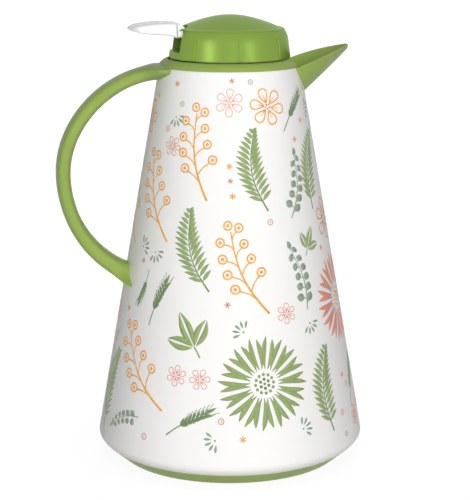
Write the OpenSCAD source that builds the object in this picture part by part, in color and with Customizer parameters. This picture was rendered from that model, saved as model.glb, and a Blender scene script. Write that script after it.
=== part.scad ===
// Glass-lined vacuum jug with a lever stopper: conical printed shell, ring handle, beak spout.
// The jug stands on z = 0 about the Z axis, the spout points to +X and the handle to -X.

/* [Shell] */
// Height of the shell's top edge above the floor
body_h = 255.1; // [245:0.1:275]
// Outer radius of the shell at its top edge
body_top_r = 45; // [44.6:0.1:48]
// Outer radius of the cone at its widest
body_wide_r = 86.9; // [84:0.1:95]
// Height of the widest point
body_wide_z = 14; // [13:0.1:18]
// Shell wall
body_wall = 2.4; // [1.6:0.1:3]

/* [Base cap] */
// Height of the base cap's visible band
base_h = 8.3; // [6:0.1:11]
// How far the band's top lies inside the shell's widest radius
base_inset = 5.4; // [4:0.1:6.4]
// How far the foot on the table lies inside the band's top
foot_inset = 9.9; // [7.5:0.1:15]
// Wall of the base cap
base_wall = 2.4; // [1.8:0.1:3]
// Depth of the recess under the base
base_recess = 2.5; // [1:0.1:4]
// Height of the wall that stands up inside the shell
base_upstand = 12; // [11:0.1:15]
// Bayonet lugs round the base cap
bayonet_n = 4; // [3:1:6]

/* [Glass liner] */
// Outer radius of the liner
liner_r = 60; // [54:0.5:61]
// Height of the liner's bottom above the floor
liner_bottom_z = 24; // [22:0.5:30]
// Depth of the liner's rounded bottom
liner_bowl = 36; // [28:0.5:42]
// Length of the straight stretch above the bowl
liner_straight = 50; // [30:1:55]
// Outer radius of the neck
neck_r = 28; // [26.5:0.1:28.2]
// Length of the neck
neck_len = 20; // [14:0.5:24]
// Glass thickness
glass = 1.5; // [1.2:0.1:1.8]
// Vacuum gap between the two flasks
vacuum_gap = 3; // [2:0.1:3.4]
// Radius of the sealing nib under the liner
nib_r = 4; // [2.5:0.1:5]
// Length of the sealing nib
nib_len = 6; // [4:0.1:7]

/* [Collar] */
// Outer radius of the collar band
collar_r = 45.4; // [45:0.1:49]
// Height of the collar band above the shell's edge
collar_band_h = 5.6; // [5:0.1:6]
// Rounding of the band's shoulder
collar_round = 4.8; // [3:0.1:5]
// Radius of the recess that the lid drops into
recess_r = 39.6; // [39.2:0.1:40]
// Depth of that recess
recess_depth = 2.7; // [2:0.1:3.2]
// Throat bore
throat_r = 30; // [29.8:0.1:31]
// Throat wall
throat_wall = 3; // [2:0.1:4]
// Height from the sealing shelf to the recess floor
throat_depth = 18; // [17.5:0.1:20]
// Thickness of the sealing shelf
shelf_t = 3.2; // [2:0.1:4]
// Hole in the shelf
shelf_hole_r = 23; // [22.2:0.1:23.4]
// Thickness of the neck seal
neck_seal_t = 2.8; // [2:0.1:3.5]
// How far the neck seal's skirt reaches down the neck
neck_seal_skirt = 5; // [3:0.1:8]

/* [Spout] */
// Distance from the axis to the spout's tip
spout_reach = 77.3; // [70:0.1:85]
// Height of the tip above the shell's edge
spout_rise = 12.6; // [10:0.1:14]
// Half width of the spout at the collar
spout_half = 24.5; // [22:0.1:26]
// Half width of the tip
spout_tip_half = 1.6; // [1.2:0.1:2.4]
// How far below the shell's edge the keel leaves the shell
spout_drop = 17.5; // [15:0.1:17.8]
// Spout wall
spout_wall = 2.2; // [1.8:0.1:2.6]
// Camber of the rim line
spout_camber = 2.4; // [1:0.1:4]
// How late the beak narrows towards its tip
spout_fullness = 2.3; // [1.8:0.1:2.8]

/* [Handle] */
// Distance from the axis to the middle of the handle's outermost stretch
handle_reach = 107.5; // [100:0.1:115]
// Height of the handle's outermost stretch
handle_bow_z = 188; // [180:0.5:196]
// Height at which the handle's foot meets the shell
handle_foot_z = 122.8; // [116:0.1:130]
// Half width of the handle
handle_half = 10; // [8:0.1:11]
// Half thickness of the handle at its bow
handle_thick = 4.5; // [4:0.1:5.5]
// Half width of the root under the collar
handle_root_half = 21; // [16:0.1:22]
// Half width of the foot at its lower edge
handle_foot_half = 20; // [16:0.1:22]
// Radius of the handle screws' thread
screw_r = 1.5; // [1.2:0.05:1.8]
// Length of screw in the handle
screw_bite = 7; // [5:0.1:7.5]

/* [Lid] */
// Outer radius of the lid's lower edge
lid_r = 38.6; // [38.2:0.05:38.9]
// Height of the lid's lower edge above the shell's edge
lid_rise = 5.9; // [5.6:0.1:6.1]
// Height of the lid body
lid_h = 17.2; // [16.8:0.1:17.6]
// Lid wall
lid_wall = 2; // [1.6:0.1:2.2]
// Thickness of the lid's floor
lid_floor_t = 2.5; // [2:0.1:3]
// Height of the lid's floor above its lower edge
lid_floor_up = 1.2; // [1:0.1:1.4]
// Height of the dome above the lid's seam
dome_h = 8.9; // [8.7:0.1:11]
// Half width of the notch for the lever
notch_half = 16; // [15.5:0.1:18]
// Grip ribs round the lid
rib_n = 8; // [6:1:12]
// Width of a grip rib
rib_w = 1.2; // [0.8:0.1:2]
// How far a grip rib stands out
rib_out = 0.6; // [0.4:0.1:0.9]

/* [Stopper] */
// Outer radius of the stopper plug
plug_r = 27.4; // [27:0.05:27.6]
// Wall of the plug
plug_wall = 2.5; // [2:0.1:3]
// Thickness of the plug's bottom
plug_floor = 2.5; // [2:0.1:3]
// Rise of the thread in one turn
thread_lead = 8; // [7.4:0.1:8.6]
// Height of the plug's thread ridge
ridge_out = 2; // [1.8:0.05:2.2]
// Height of the throat's thread ridge
ridge_in = 1.7; // [1.5:0.05:1.8]
// Thickness of both ridges at the root
ridge_t = 2.4; // [2:0.1:2.6]
// Angle that each ridge covers
ridge_arc = 300; // [240:5:310]
// Clearance between the flanks of the two ridges
ridge_gap = 0.4; // [0.3:0.05:0.6]
// Radius of the valve's seat hole
seat_r = 11; // [10.5:0.1:11.6]
// Thickness of the stopper's sealing ring
gasket_t = 3; // [2.6:0.1:3.4]
// Outer radius of the sealing ring
gasket_r = 27.9; // [27:0.1:28.1]

/* [Lever and valve] */
// Distance from the axis to the lever's pivot
pivot_x = 22; // [20:0.1:23]
// Height of the pivot above the lid floor
pivot_up = 8.3; // [8.1:0.1:8.6]
// Radius of the pivot pin
pin_r = 1.5; // [1.2:0.05:1.6]
// Distance from the axis to the lever's tip
lever_reach = 65.3; // [60:0.1:66]
// Half width of the lever's paddle
lever_half = 14.5; // [12:0.1:14.8]
// Half width of the lever's neck and of its arm inside the lid
lever_arm_half = 7.5; // [6.5:0.1:8]
// Travel of the lever in degrees
lever_travel = 8; // [6:0.5:8]
// Radius of the valve's disc
valve_r = 14; // [13.5:0.1:15]
// Radius of the valve's stem
stem_r = 2.4; // [2:0.05:2.6]
// Thickness of the valve's seal
valve_seal_t = 1.8; // [1.4:0.1:2.2]
// Wire radius of the return spring
wire_r = 0.45; // [0.35:0.05:0.55]
// Turns of the return spring
spring_turns = 5; // [4:0.5:6]

/* [Fits] */
// Clearance between pieces that sit still side by side
seat_gap = 0.3; // [0.2:0.05:0.4]
// Radial clearance of a pin or stem that runs in a bore
run_gap = 0.1; // [0.05:0.01:0.1]

/* [Hidden] */
$fn = 96;
eps = 0.01;
far = 400;

green = "#95ab58";
lid_green = "#8db64f";
white = "#f7f7f5";
natural = "#e6e7e3";
glass_tint = "#b9c4c6";
rubber_tint = "#d9d9d4";
steel = "#a9abad";

// Heights worked out from the driving sizes, from the table upwards
cone_slope = (body_wide_r - body_top_r) / (body_h - body_wide_z);
cone_angle = atan(cone_slope);
collar_top_z = body_h + collar_band_h;
deck_z = collar_top_z - recess_depth;
shelf_z = deck_z - throat_depth;
lip_z = shelf_z - shelf_t - neck_seal_t;
plug_z = shelf_z + gasket_t;
lid_z = body_h + lid_rise;
floor_z = lid_z + lid_floor_up;
lid_deck_z = floor_z + lid_floor_t;
seam_z = lid_z + lid_h;
pivot_z = lid_deck_z + pivot_up;

// Outer radius of the cone, straight on past its ends
function cone_r(z) = body_top_r + cone_slope * (body_h - z);
// Points of a quadratic and of a cubic curve
function curve2(a, b, c, n) = [for (i = [0 : n]) let (t = i / n)
    (1 - t) * (1 - t) * a + 2 * t * (1 - t) * b + t * t * c];
function point3(a, b, c, d, t) = pow(1 - t, 3) * a + 3 * t * pow(1 - t, 2) * b
    + 3 * t * t * (1 - t) * c + pow(t, 3) * d;
function slope3(a, b, c, d, t) = 3 * pow(1 - t, 2) * (b - a) + 6 * t * (1 - t) * (c - b)
    + 3 * t * t * (d - c);
function reversed(list) = [for (i = [len(list) - 1 : -1 : 0]) list[i]];
function joined(lists) = [for (list = lists, item = list) item];

// Triangles that close a ring of m points, working inwards from its first and last point
function cap_faces(m) = concat(
    [for (j = [0 : floor(m / 2) - 1]) if (j + 1 < m - 1 - j) [j, j + 1, m - 1 - j]],
    [for (j = [0 : floor(m / 2) - 1]) if (j + 1 < m - 2 - j) [j + 1, m - 2 - j, m - 1 - j]]);

// Skin over rings that all have the same number of points, closed at both ends
module loft(rings) {
    m = len(rings[0]);
    n = len(rings);
    polyhedron(
        points = joined(rings),
        faces = concat(
            cap_faces(m),
            [for (i = [0 : n - 2], j = [0 : m - 1])
                [i * m + j, (i + 1) * m + j, (i + 1) * m + (j + 1) % m]],
            [for (i = [0 : n - 2], j = [0 : m - 1])
                [i * m + j, (i + 1) * m + (j + 1) % m, i * m + (j + 1) % m]],
            [for (f = cap_faces(m)) [for (k = reversed(f)) (n - 1) * m + k]]),
        convexity = 10);
}

// Sector of a ring, used for lugs and notches
module sector(r_in, r_out, h, half) {
    rotate([0, 0, -half]) rotate_extrude(angle = 2 * half)
        translate([r_in, 0]) square([r_out - r_in, h]);
}

// Thread ridge with its middle on a right-handed helix that starts at z
module ridge(r_root, r_crest, z) {
    steps = 40;
    crest_t = ridge_t * 0.55;
    start = (360 - ridge_arc) / 2;
    side = sign(r_crest - r_root);
    loft([for (i = [0 : steps]) let (
            a = start + ridge_arc * i / steps,
            zc = z + thread_lead * ridge_arc / 360 * i / steps,
            section = [[r_root, -ridge_t / 2], [r_crest, -crest_t / 2], [r_crest, crest_t / 2],
                [r_root, ridge_t / 2]],
            ring = [for (p = section) [p[0] * cos(a), p[0] * sin(a), zc + p[1]]])
        side > 0 ? reversed(ring) : ring]);
}

// Brings a piece drawn along +Z from the origin onto the shell's outside at -X
module on_shell(z) {
    translate([-cone_r(z), 0, z]) rotate([0, -90 + cone_angle, 0]) children();
}

// ---- Shell and base ----

base_top_r = body_wide_r - base_inset;
base_foot_r = base_top_r - foot_inset;
bayonet_half = 10;
lug_h = 2.8;
tab_h = 3;
tab_z = base_h + 3.7;
upstand_r = base_top_r - 3.1;

function shell_outline() = concat(
    curve2([base_top_r, base_h], [body_wide_r + 0.7, body_wide_z - 1.4],
        [cone_r(body_wide_z + 3), body_wide_z + 3], 8),
    [[body_top_r, body_h]]);

module shell_screw_holes() {
    for (z = [top_screw_z, foot_screw_z])
        on_shell(z) translate([0, 0, -body_wall * 2]) cylinder(r = screw_r + seat_gap, h = body_wall * 4);
}

module outer_shell() {
    inner_r = cone_r(tab_z + tab_h + 1) - body_wall;
    lower_in = [[upstand_r + seat_gap, base_h], [upstand_r + seat_gap, base_h + 2],
        [inner_r, tab_z - 1], [inner_r, tab_z + tab_h + 1]];
    color(white) difference() {
        union() {
            rotate_extrude() polygon(concat(shell_outline(),
                [[body_top_r - body_wall, body_h]], reversed(lower_in)));
            for (i = [0 : bayonet_n - 1]) rotate([0, 0, (i + 0.5) * 360 / bayonet_n])
                translate([0, 0, tab_z])
                    sector(upstand_r + seat_gap, inner_r + body_wall / 3, tab_h, bayonet_half);
        }
        root_prism(-seat_gap, body_h + 5);
        shell_screw_holes();
    }
}

socket_r = 28.4;
socket_z = 14.5;
socket_rim = 5.5;

module base_cap() {
    upstand_z = base_h + base_upstand;
    lug_z = tab_z + tab_h + seat_gap;
    color(green) union() {
        rotate_extrude() polygon([
            [0, socket_z - base_wall], [socket_r - base_wall, socket_z - base_wall],
            [socket_r - base_wall, base_recess], [base_foot_r - 6, base_recess],
            [base_foot_r - 4, 0], [base_foot_r, 0], [base_top_r, base_h],
            [upstand_r, base_h], [upstand_r, upstand_z], [upstand_r - base_wall, upstand_z],
            [upstand_r - base_wall, base_recess + base_wall],
            [socket_r, base_recess + base_wall], [socket_r, socket_z + socket_rim],
            [socket_r - 2, socket_z + socket_rim], [socket_r - 2, socket_z], [0, socket_z]]);
        for (i = [0 : bayonet_n - 1]) rotate([0, 0, (i + 0.5) * 360 / bayonet_n])
            translate([0, 0, lug_z]) sector(upstand_r - eps, upstand_r + 3.4, lug_h, bayonet_half);
    }
}

cushion_hole_r = 12;

module base_cushion() {
    outer = socket_r - 2 - seat_gap;
    top = [for (i = [0 : 6]) let (r = outer + (cushion_hole_r - outer) * i / 6)
        [r, bowl_z(r) - seat_gap]];
    color(rubber_tint) rotate_extrude() polygon(concat(
        [[cushion_hole_r, socket_z], [outer, socket_z]], top));
}

// ---- Glass liner ----

bowl_top_z = liner_bottom_z + liner_bowl;
taper_z = bowl_top_z + liner_straight;
neck_z = lip_z - neck_len;
shoulder_z = neck_z - 28;
shoulder_r = liner_r - 13;
inner_inset = glass + vacuum_gap;

// Height of the liner's outside under the bowl at radius r
function bowl_z(r) = bowl_top_z - liner_bowl * sqrt(1 - pow(r / liner_r, 2));

// Outline of a flask that lies d inside the liner's outer surface, from the axis up to the lip
function flask(d) = concat(
    [for (i = [0 : 12]) let (a = 90 * i / 12)
        [(liner_r - d) * sin(a), bowl_top_z - (liner_bowl - d) * cos(a)]],
    [[liner_r - d, taper_z]],
    curve2([shoulder_r - d, shoulder_z], [shoulder_r - d - 5, neck_z - 4], [neck_r - d, neck_z], 8),
    [[neck_r - d, lip_z - glass]]);

module liner_outer() {
    color(glass_tint) union() {
        rotate_extrude() polygon(concat(flask(0),
            [[neck_r, lip_z], [neck_r - inner_inset - glass, lip_z],
                [neck_r - inner_inset - glass, lip_z - glass]],
            reversed(flask(glass))));
        translate([0, 0, liner_bottom_z - nib_len]) cylinder(r1 = nib_r * 0.4, r2 = nib_r, h = nib_len + glass / 2);
    }
}

module liner_inner() {
    color(glass_tint) rotate_extrude()
        polygon(concat(flask(inner_inset), reversed(flask(inner_inset + glass))));
}

module liner_pads() {
    pad_r = liner_r - glass - vacuum_gap / 2;
    for (i = [0 : 2]) rotate([0, 0, 60 + i * 120])
        color(natural) translate([pad_r, 0, bowl_top_z + 8])
            cube([vacuum_gap - 2 * seat_gap, 6, 8], center = true);
}

module neck_seal() {
    skirt_in = neck_r + seat_gap;
    skirt_out = throat_r - seat_gap;
    mouth_r = neck_r - inner_inset - glass;
    color(rubber_tint) rotate_extrude() polygon([
        [mouth_r, lip_z], [skirt_in, lip_z], [skirt_in, lip_z - neck_seal_skirt],
        [skirt_out, lip_z - neck_seal_skirt], [skirt_out, lip_z + neck_seal_t],
        [mouth_r, lip_z + neck_seal_t]]);
}

// ---- Collar and spout ----

spout_root_x = sqrt(pow(collar_r, 2) - pow(spout_half, 2));
keel_root_x = cone_r(body_h - spout_drop);
rim_root_z = body_h - 0.5;
keel_end_z = body_h + spout_rise - 2.4;

// Rim height, keel height and half width at x
function along(x) = (x - spout_root_x) / (spout_reach - spout_root_x);
function rim_z(x) = let (u = along(x))
    rim_root_z + (body_h + spout_rise - rim_root_z) * u + spout_camber * u * (1 - u);
function keel_z(x) = let (v = (x - keel_root_x) / (spout_reach - keel_root_x))
    body_h - spout_drop + (keel_end_z - body_h + spout_drop) * v;
function rim_half(x) =
    spout_half + (spout_tip_half - spout_half) * pow(max(0, along(x)), spout_fullness);

// Cross section of the beak at x, set in by inset: a parabola from rim to rim
function beak(x, inset, n) = [for (i = [-n : n]) let (s = i / n,
        half = max(rim_half(x) - inset * 1.1, 0.4),
        low = min(keel_z(x) + inset * 1.3, rim_z(x) - 0.5))
    [x, half * s, low + (rim_z(x) - low) * s * s]];

module spout() {
    steps = 14;
    start = spout_root_x - 3;
    loft([for (i = [0 : steps]) let (x = start + (spout_reach - start) * i / steps)
        concat(beak(x, 0, 7), reversed(beak(x, spout_wall, 7)))]);
}

// Outline of the spout's root seen along X: a parabola up to the band, upright above it
function root_outline(inset, top) = let (
        half = spout_half - inset,
        low = body_h - spout_drop + inset * 1.3,
        side = [for (i = [0 : 6]) [half * i / 6, low + (rim_root_z - low) * pow(i / 6, 2)]])
    concat(side, [[half, top], [-half, top]], [for (i = [6 : -1 : 1]) [-side[i][0], side[i][1]]]);

module root_prism(inset, top) {
    translate([throat_r - 3, 0, 0]) rotate([90, 0, 90]) linear_extrude(30)
        polygon(root_outline(inset, top));
}

// All that lies inside the shell's outer face, larger by grow, up to a height
module body_space(grow, top) {
    low = body_h - 30;
    rotate_extrude() polygon([[0, low], [cone_r(low) + grow, low], [body_top_r + grow, body_h],
        [collar_r + grow, body_h], [collar_r + grow, top], [0, top]]);
}

module collar() {
    skirt_r = body_top_r - body_wall - seat_gap;
    skirt_in = skirt_r - 2.2;
    round_top = [for (i = [0 : 8]) let (a = 90 * i / 8) [
        collar_r - collar_round + collar_round * cos(a),
        collar_top_z - collar_round + collar_round * sin(a)]];
    tube_out = throat_r + throat_wall;
    color(green) difference() {
        union() {
            rotate_extrude() polygon(concat(
                [[collar_r, body_h]], round_top,
                [[recess_r, collar_top_z], [recess_r, deck_z], [throat_r, deck_z],
                    [throat_r, shelf_z], [shelf_hole_r, shelf_z], [shelf_hole_r, shelf_z - shelf_t],
                    [throat_r, shelf_z - shelf_t], [throat_r, lip_z - neck_seal_skirt],
                    [tube_out, lip_z - neck_seal_skirt], [tube_out, deck_z - 3],
                    [skirt_in, deck_z - 3], [skirt_in, body_h - 5], [skirt_r, body_h - 5],
                    [skirt_r, body_h]]));
            difference() {
                spout();
                body_space(0, body_h);
                cylinder(r = recess_r, h = far);
            }
            difference() {
                intersection() {
                    root_prism(0.1, deck_z - eps);
                    body_space(0.5, deck_z);
                }
                cylinder(r = throat_r, h = far);
            }
            ridge(throat_r + 0.5, throat_r - ridge_in, shelf_z + 7.2);
        }
        // Open way from the throat to the beak
        intersection() {
            root_prism(spout_wall + seat_gap, collar_top_z + 5);
            body_space(0.8, collar_top_z + 5);
        }
        // Room for the head of the handle's upper screw
        translate([-skirt_r - 2, -5, body_h - 10]) cube([6, 10, 9.9]);
    }
}

// ---- Handle ----

top_screw_z = body_h - 5.6;
foot_screw_z = handle_foot_z - 1.5;

root_in = 4;
root_drop = 4;
root_pull = 35;
bow_pull_up = 34;
bow_pull_down = 25;
foot_in = 3;
foot_pull = 30;
foot_pull_up = 12.2;

// The handle's middle line: two curves that meet upright at the bow
function handle_top() = let (x = -body_top_r + root_in, z = body_h - root_drop) [
    [x, z], [x - root_pull, z - 0.6], [-handle_reach, handle_bow_z + bow_pull_up],
    [-handle_reach, handle_bow_z]];
function handle_low() = let (x = -cone_r(handle_foot_z) + foot_in) [
    [-handle_reach, handle_bow_z], [-handle_reach, handle_bow_z - bow_pull_down],
    [x - foot_pull, handle_foot_z + foot_pull_up], [x, handle_foot_z - 1]];

// Half sections across the middle line as [width, thickness], from the outer face to the
// inner: along the handle, at its root and at its foot
handle_plain = [[0, 1], [0.36, 0.96], [0.72, 0.72], [0.94, 0.25], [1, -0.25], [0.78, -0.8],
    [0.4, -1]];
handle_root = [[0, 1.04], [0.45, 1.02], [0.92, 0.96], [1, 0.7], [0.84, 0.1], [0.56, -0.5],
    [0.22, -1]];
handle_foot = [[0, 1.04], [0.5, 1.02], [1, 0.94], [0.84, 0.6], [0.6, 0.1], [0.46, -0.5],
    [0.3, -1]];

// One section, blended by f from the plain one to an end one that is wide at half_end
function handle_ring(p, dir, end, half_end, thick, f) = let (
        out = [dir[1], -dir[0]] / norm(dir),
        side = [for (i = [0 : 6]) [
            handle_half * handle_plain[i][0] * (1 - f) + half_end * end[i][0] * f,
            thick * (handle_plain[i][1] * (1 - f) + end[i][1] * f)]],
        outline = concat([for (i = [6 : -1 : 1]) [-side[i][0], side[i][1]]], side))
    [for (q = outline) [p[0] + out[0] * q[1], q[0], p[1] + out[1] * q[1]]];

module handle() {
    steps = 20;
    a = handle_top();
    b = handle_low();
    upper = [for (i = [0 : steps])
        let (t = i / steps, flare = pow(min(1, max(0, (0.2 - t) / 0.13)), 2))
        handle_ring(point3(a[0], a[1], a[2], a[3], t), slope3(a[0], a[1], a[2], a[3], t),
            handle_root, handle_root_half, handle_thick, flare)];
    lower = [for (i = [1 : steps])
        let (t = i / steps, flare = pow(min(1, max(0, (t - 0.74) / 0.21)), 2))
        handle_ring(point3(b[0], b[1], b[2], b[3], t), slope3(b[0], b[1], b[2], b[3], t),
            handle_foot, handle_foot_half, handle_thick + 1.2 * t * t, flare)];
    color(green) difference() {
        loft(concat(upper, lower));
        rotate_extrude() polygon([[0, handle_foot_z - 30], [cone_r(handle_foot_z - 30), handle_foot_z - 30],
            [body_top_r, body_h], [0, body_h]]);
        translate([0, 0, body_h - eps]) cylinder(r = collar_r, h = 20);
        for (z = [top_screw_z, foot_screw_z])
            on_shell(z) translate([0, 0, -1]) cylinder(r = screw_r, h = screw_bite + 1);
    }
}

module handle_screws() {
    head_h = 1.8;
    for (z = [top_screw_z, foot_screw_z])
        color(steel) on_shell(z) translate([0, 0, -body_wall - 0.1]) {
            cylinder(r = screw_r, h = body_wall + 0.1 + screw_bite);
            translate([0, 0, -head_h]) difference() {
                cylinder(r = screw_r * 1.8, h = head_h);
                translate([-0.4, -far, -eps]) cube([0.8, 2 * far, 0.8]);
            }
        }
}

// ---- Stopper ----

module stopper_gasket() {
    color(rubber_tint) translate([0, 0, shelf_z]) difference() {
        cylinder(r = gasket_r, h = gasket_t);
        translate([0, 0, -1]) cylinder(r = spigot_r + seat_gap, h = gasket_t + 2);
    }
}

spigot_r = 23.6;
window_half = 25;
screw_circle = 21;
boss_r = 3.3;
plug_screw_r = 1.3;
boss_z = plug_z + 9;
cup_r = 6.3;
cup_wall = 1.7;
cup_z = floor_z - 4;
skirt_cup = 5;

module plug_screw_places() {
    for (a = [60, 180, 300]) rotate([0, 0, a]) translate([screw_circle, 0, 0]) children();
}

module stopper_plug() {
    bore = plug_r - plug_wall;
    color(natural) difference() {
        union() {
            translate([0, 0, plug_z]) difference() {
                cylinder(r = plug_r, h = floor_z - plug_z);
                translate([0, 0, plug_floor]) cylinder(r = bore, h = far);
            }
            translate([0, 0, plug_z - gasket_t + 0.6]) cylinder(r = spigot_r, h = gasket_t);
            plug_screw_places() translate([0, 0, boss_z]) union() {
                cylinder(r = boss_r, h = floor_z - boss_z);
                translate([0, -1, 0]) cube([plug_r - screw_circle - 1, 2, floor_z - boss_z]);
            }
            ridge(plug_r - 0.5, plug_r + ridge_out, shelf_z + 7.2 - ridge_t - ridge_gap);
        }
        translate([0, 0, plug_z - 1]) cylinder(r = seat_r, h = far);
        translate([0, 0, plug_z - gasket_t]) cylinder(r = spigot_r - 3, h = gasket_t);
        // Pouring window towards the spout
        translate([0, 0, plug_z + plug_floor + 1]) sector(bore - 3, plug_r + 4, far, window_half);
        plug_screw_places() translate([0, 0, boss_z - 1]) cylinder(r = plug_screw_r, h = far);
    }
}

module plug_screws() {
    color(steel) plug_screw_places() {
        translate([0, 0, lid_deck_z - lid_floor_t - 7]) cylinder(r = plug_screw_r, h = lid_floor_t + 7);
        translate([0, 0, lid_deck_z]) difference() {
            cylinder(r = plug_screw_r * 1.9, h = 1.6);
            translate([-far, -0.35, 0.9]) cube([2 * far, 0.7, 1]);
        }
    }
}

lid_top_r = lid_r - 4.1;
notch_wall = 1.6;

// Outline of the lid's skirt, from its lower edge to the seam
function lid_side(d) = concat([[lid_r - d, lid_z]],
    curve2([lid_r - 1.3 - d, lid_z + lid_h * 0.6], [lid_r - 1.9 - d, lid_z + lid_h * 0.85],
        [lid_top_r - d, seam_z], 6));

post_half = 1.5;
post_y = lever_arm_half + 0.4 + post_half;

// Grip rib that follows the skirt's slope from near its lower edge up
module grip_rib() {
    low = lid_z + 2;
    high = lid_z + lid_h * 0.68;
    lean = 1.3 / (lid_h * 0.6);
    translate([0, rib_w / 2, 0]) rotate([90, 0, 0]) linear_extrude(rib_w) polygon([
        [lid_r - 1.8, low], [lid_r + rib_out - lean * 2, low],
        [lid_r + rib_out - lean * (high - lid_z), high - 0.8],
        [lid_r - lean * (high - lid_z), high], [lid_r - 3, high]]);
}

module lid_body() {
    inner = reversed(lid_side(lid_wall));
    color(lid_green) difference() {
        union() {
            rotate_extrude() polygon(concat(lid_side(0), inner));
            translate([0, 0, floor_z]) cylinder(r = lid_r - lid_wall, h = lid_floor_t);
            translate([0, 0, cup_z - skirt_cup]) cylinder(r = cup_r + cup_wall, h = floor_z - cup_z + skirt_cup);
            for (i = [0 : rib_n - 1]) rotate([0, 0, i * 360 / rib_n])
                grip_rib();
            for (side = [-1, 1]) translate([pivot_x - 3, side * post_y - post_half, lid_deck_z - eps])
                cube([6, 2 * post_half, pivot_up + 3]);
            // Walls on both sides of the notch
            intersection() {
                for (side = [-1, 1])
                    translate([-lid_r, side * (notch_half + notch_wall / 2) - notch_wall / 2, lid_deck_z - eps])
                        cube([14, notch_wall, seam_z - 3.3 - lid_deck_z]);
                rotate_extrude() polygon(concat([[0, lid_z]], lid_side(lid_wall / 2), [[0, seam_z]]));
            }
        }
        translate([0, 0, cup_z]) cylinder(r = cup_r, h = far);
        translate([0, 0, cup_z - 2 - 1]) cylinder(r = stem_r + run_gap, h = 10);
        translate([0, 0, cup_z - skirt_cup - 1]) cylinder(r = seal_r + seat_gap / 2, h = skirt_cup - 2 + 1);
        plug_screw_places() translate([0, 0, floor_z - 1]) cylinder(r = plug_screw_r + seat_gap, h = 10);
        translate([-far - lid_r + 12, -notch_half, lid_deck_z]) cube([far, 2 * notch_half, far]);
        translate([pivot_x, 0, pivot_z]) rotate([90, 0, 0])
            cylinder(r = pin_r, h = 3 * post_y, center = true);
    }
}

cap_r = lid_top_r + 0.2;
cap_wall = 1.8;
brim_in = 27;
dome_r = 31;

// A dome with a chamfered edge, its snap ring inside the lid, and a slot for the lever's neck
module lid_cap() {
    top_z = seam_z + dome_h;
    dome = curve2([0, top_z], [dome_r * 0.44, top_z], [dome_r, seam_z + 1.3], 10);
    under = curve2([0, top_z - cap_wall], [dome_r * 0.4, top_z - cap_wall],
        [dome_r - 2.6, seam_z - 0.5], 8);
    snap_r = lid_top_r - lid_wall - seat_gap;
    slot_half = lever_arm_half + 0.8;
    color(lid_green) difference() {
        rotate_extrude() polygon(concat(dome,
            [[cap_r - 0.4, seam_z + 0.4], [cap_r, seam_z], [snap_r, seam_z], [snap_r, seam_z - 3],
                [snap_r - 1.4, seam_z - 3], [snap_r - 1.4, seam_z - 0.5]],
            reversed(under)));
        translate([-far - brim_in - 0.5, -slot_half, seam_z - 10]) cube([far, 2 * slot_half, far]);
    }
}

module stem_seal() {
    color(rubber_tint) translate([0, 0, cup_z - 2 - seal_h]) difference() {
        cylinder(r = seal_r, h = seal_h);
        translate([0, 0, -1]) cylinder(r = stem_r + seat_gap / 2, h = 10);
    }
}

seal_r = 5;
seal_h = 1.8;

// ---- Lever and valve ----

nub_r = 2;
nub_up = 1;
hub_r = 3.5;
arm_low = pivot_z + 0.2;
arm_top = pivot_z + 3.9;
cap_top_z = pivot_z + nub_up - nub_r - run_gap;

module lever_pin() {
    color(steel) translate([pivot_x, 0, pivot_z]) rotate([90, 0, 0])
        cylinder(r = pin_r, h = 2 * (post_y + post_half), center = true);
}

// The lever seen from the side, z measured from the pivot
function lever_side() = concat(
    [[pivot_x, 3.2], [pivot_x - 4, 3.9], [-brim_in + 1, 3.9], [-brim_in - 1.6, 5.4]],
    curve2([-brim_in - 4, 8], [-brim_in - 6, 9.6], [-brim_in - 12, 9.7], 5),
    curve2([-brim_in - 18, 9.7], [-lever_reach + 6, 9], [-lever_reach + 0.8, 7], 5),
    [[-lever_reach, 6], [-lever_reach + 1.4, 5.2]],
    curve2([-lever_reach + 6, 4], [-lever_reach + 12, 3], [-brim_in - 13, 2.4], 4),
    [[-brim_in - 8, 0.2], [pivot_x, 0.2]]);

module lever() {
    color(white) difference() {
        union() {
            intersection() {
                translate([0, 0, pivot_z]) rotate([90, 0, 0])
                    linear_extrude(2 * lever_half, center = true) polygon(lever_side());
                // Plan: a straight arm in the lid, a wider paddle with a round tip outside it
                union() {
                    translate([-cap_r - 3, -lever_arm_half, 0])
                        cube([cap_r + 3 + pivot_x + 5, 2 * lever_arm_half, far]);
                    intersection() {
                        translate([-lever_reach - 1, -lever_half, 0])
                            cube([20, 2 * lever_half, far]);
                        translate([-lever_reach + 19, 0, 0]) cylinder(r = 19, h = far);
                    }
                    translate([-lever_reach + 18, -lever_half, 0])
                        cube([lever_reach - 18 - cap_r + 0.1, 2 * lever_half, far]);
                }
            }
            translate([pivot_x, 0, pivot_z]) rotate([90, 0, 0])
                cylinder(r = hub_r, h = 2 * lever_arm_half, center = true);
            translate([0, 0, pivot_z + nub_up]) rotate([90, 0, 0])
                cylinder(r = nub_r, h = 10, center = true);
        }
        translate([pivot_x, 0, pivot_z]) rotate([90, 0, 0])
            cylinder(r = pin_r + run_gap, h = 3 * lever_arm_half, center = true);
    }
}

disc_h = 1.6;
cap_head = 1.9;
cap_sleeve = 4;
hub_in_r = 8.8;

module valve_plunger() {
    color(natural) union() {
        translate([0, 0, plug_z - valve_seal_t - disc_h]) cylinder(r = valve_r, h = disc_h);
        translate([0, 0, plug_z - valve_seal_t - eps]) cylinder(r = hub_in_r, h = valve_seal_t);
        translate([0, 0, plug_z - valve_seal_t - eps])
            cylinder(r = stem_r, h = cap_top_z - 0.8 - plug_z + valve_seal_t);
    }
}

module valve_seal() {
    color(rubber_tint) translate([0, 0, plug_z - valve_seal_t]) difference() {
        cylinder(r = valve_r, h = valve_seal_t);
        translate([0, 0, -1]) cylinder(r = hub_in_r + seat_gap / 2, h = 5);
    }
}

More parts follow.
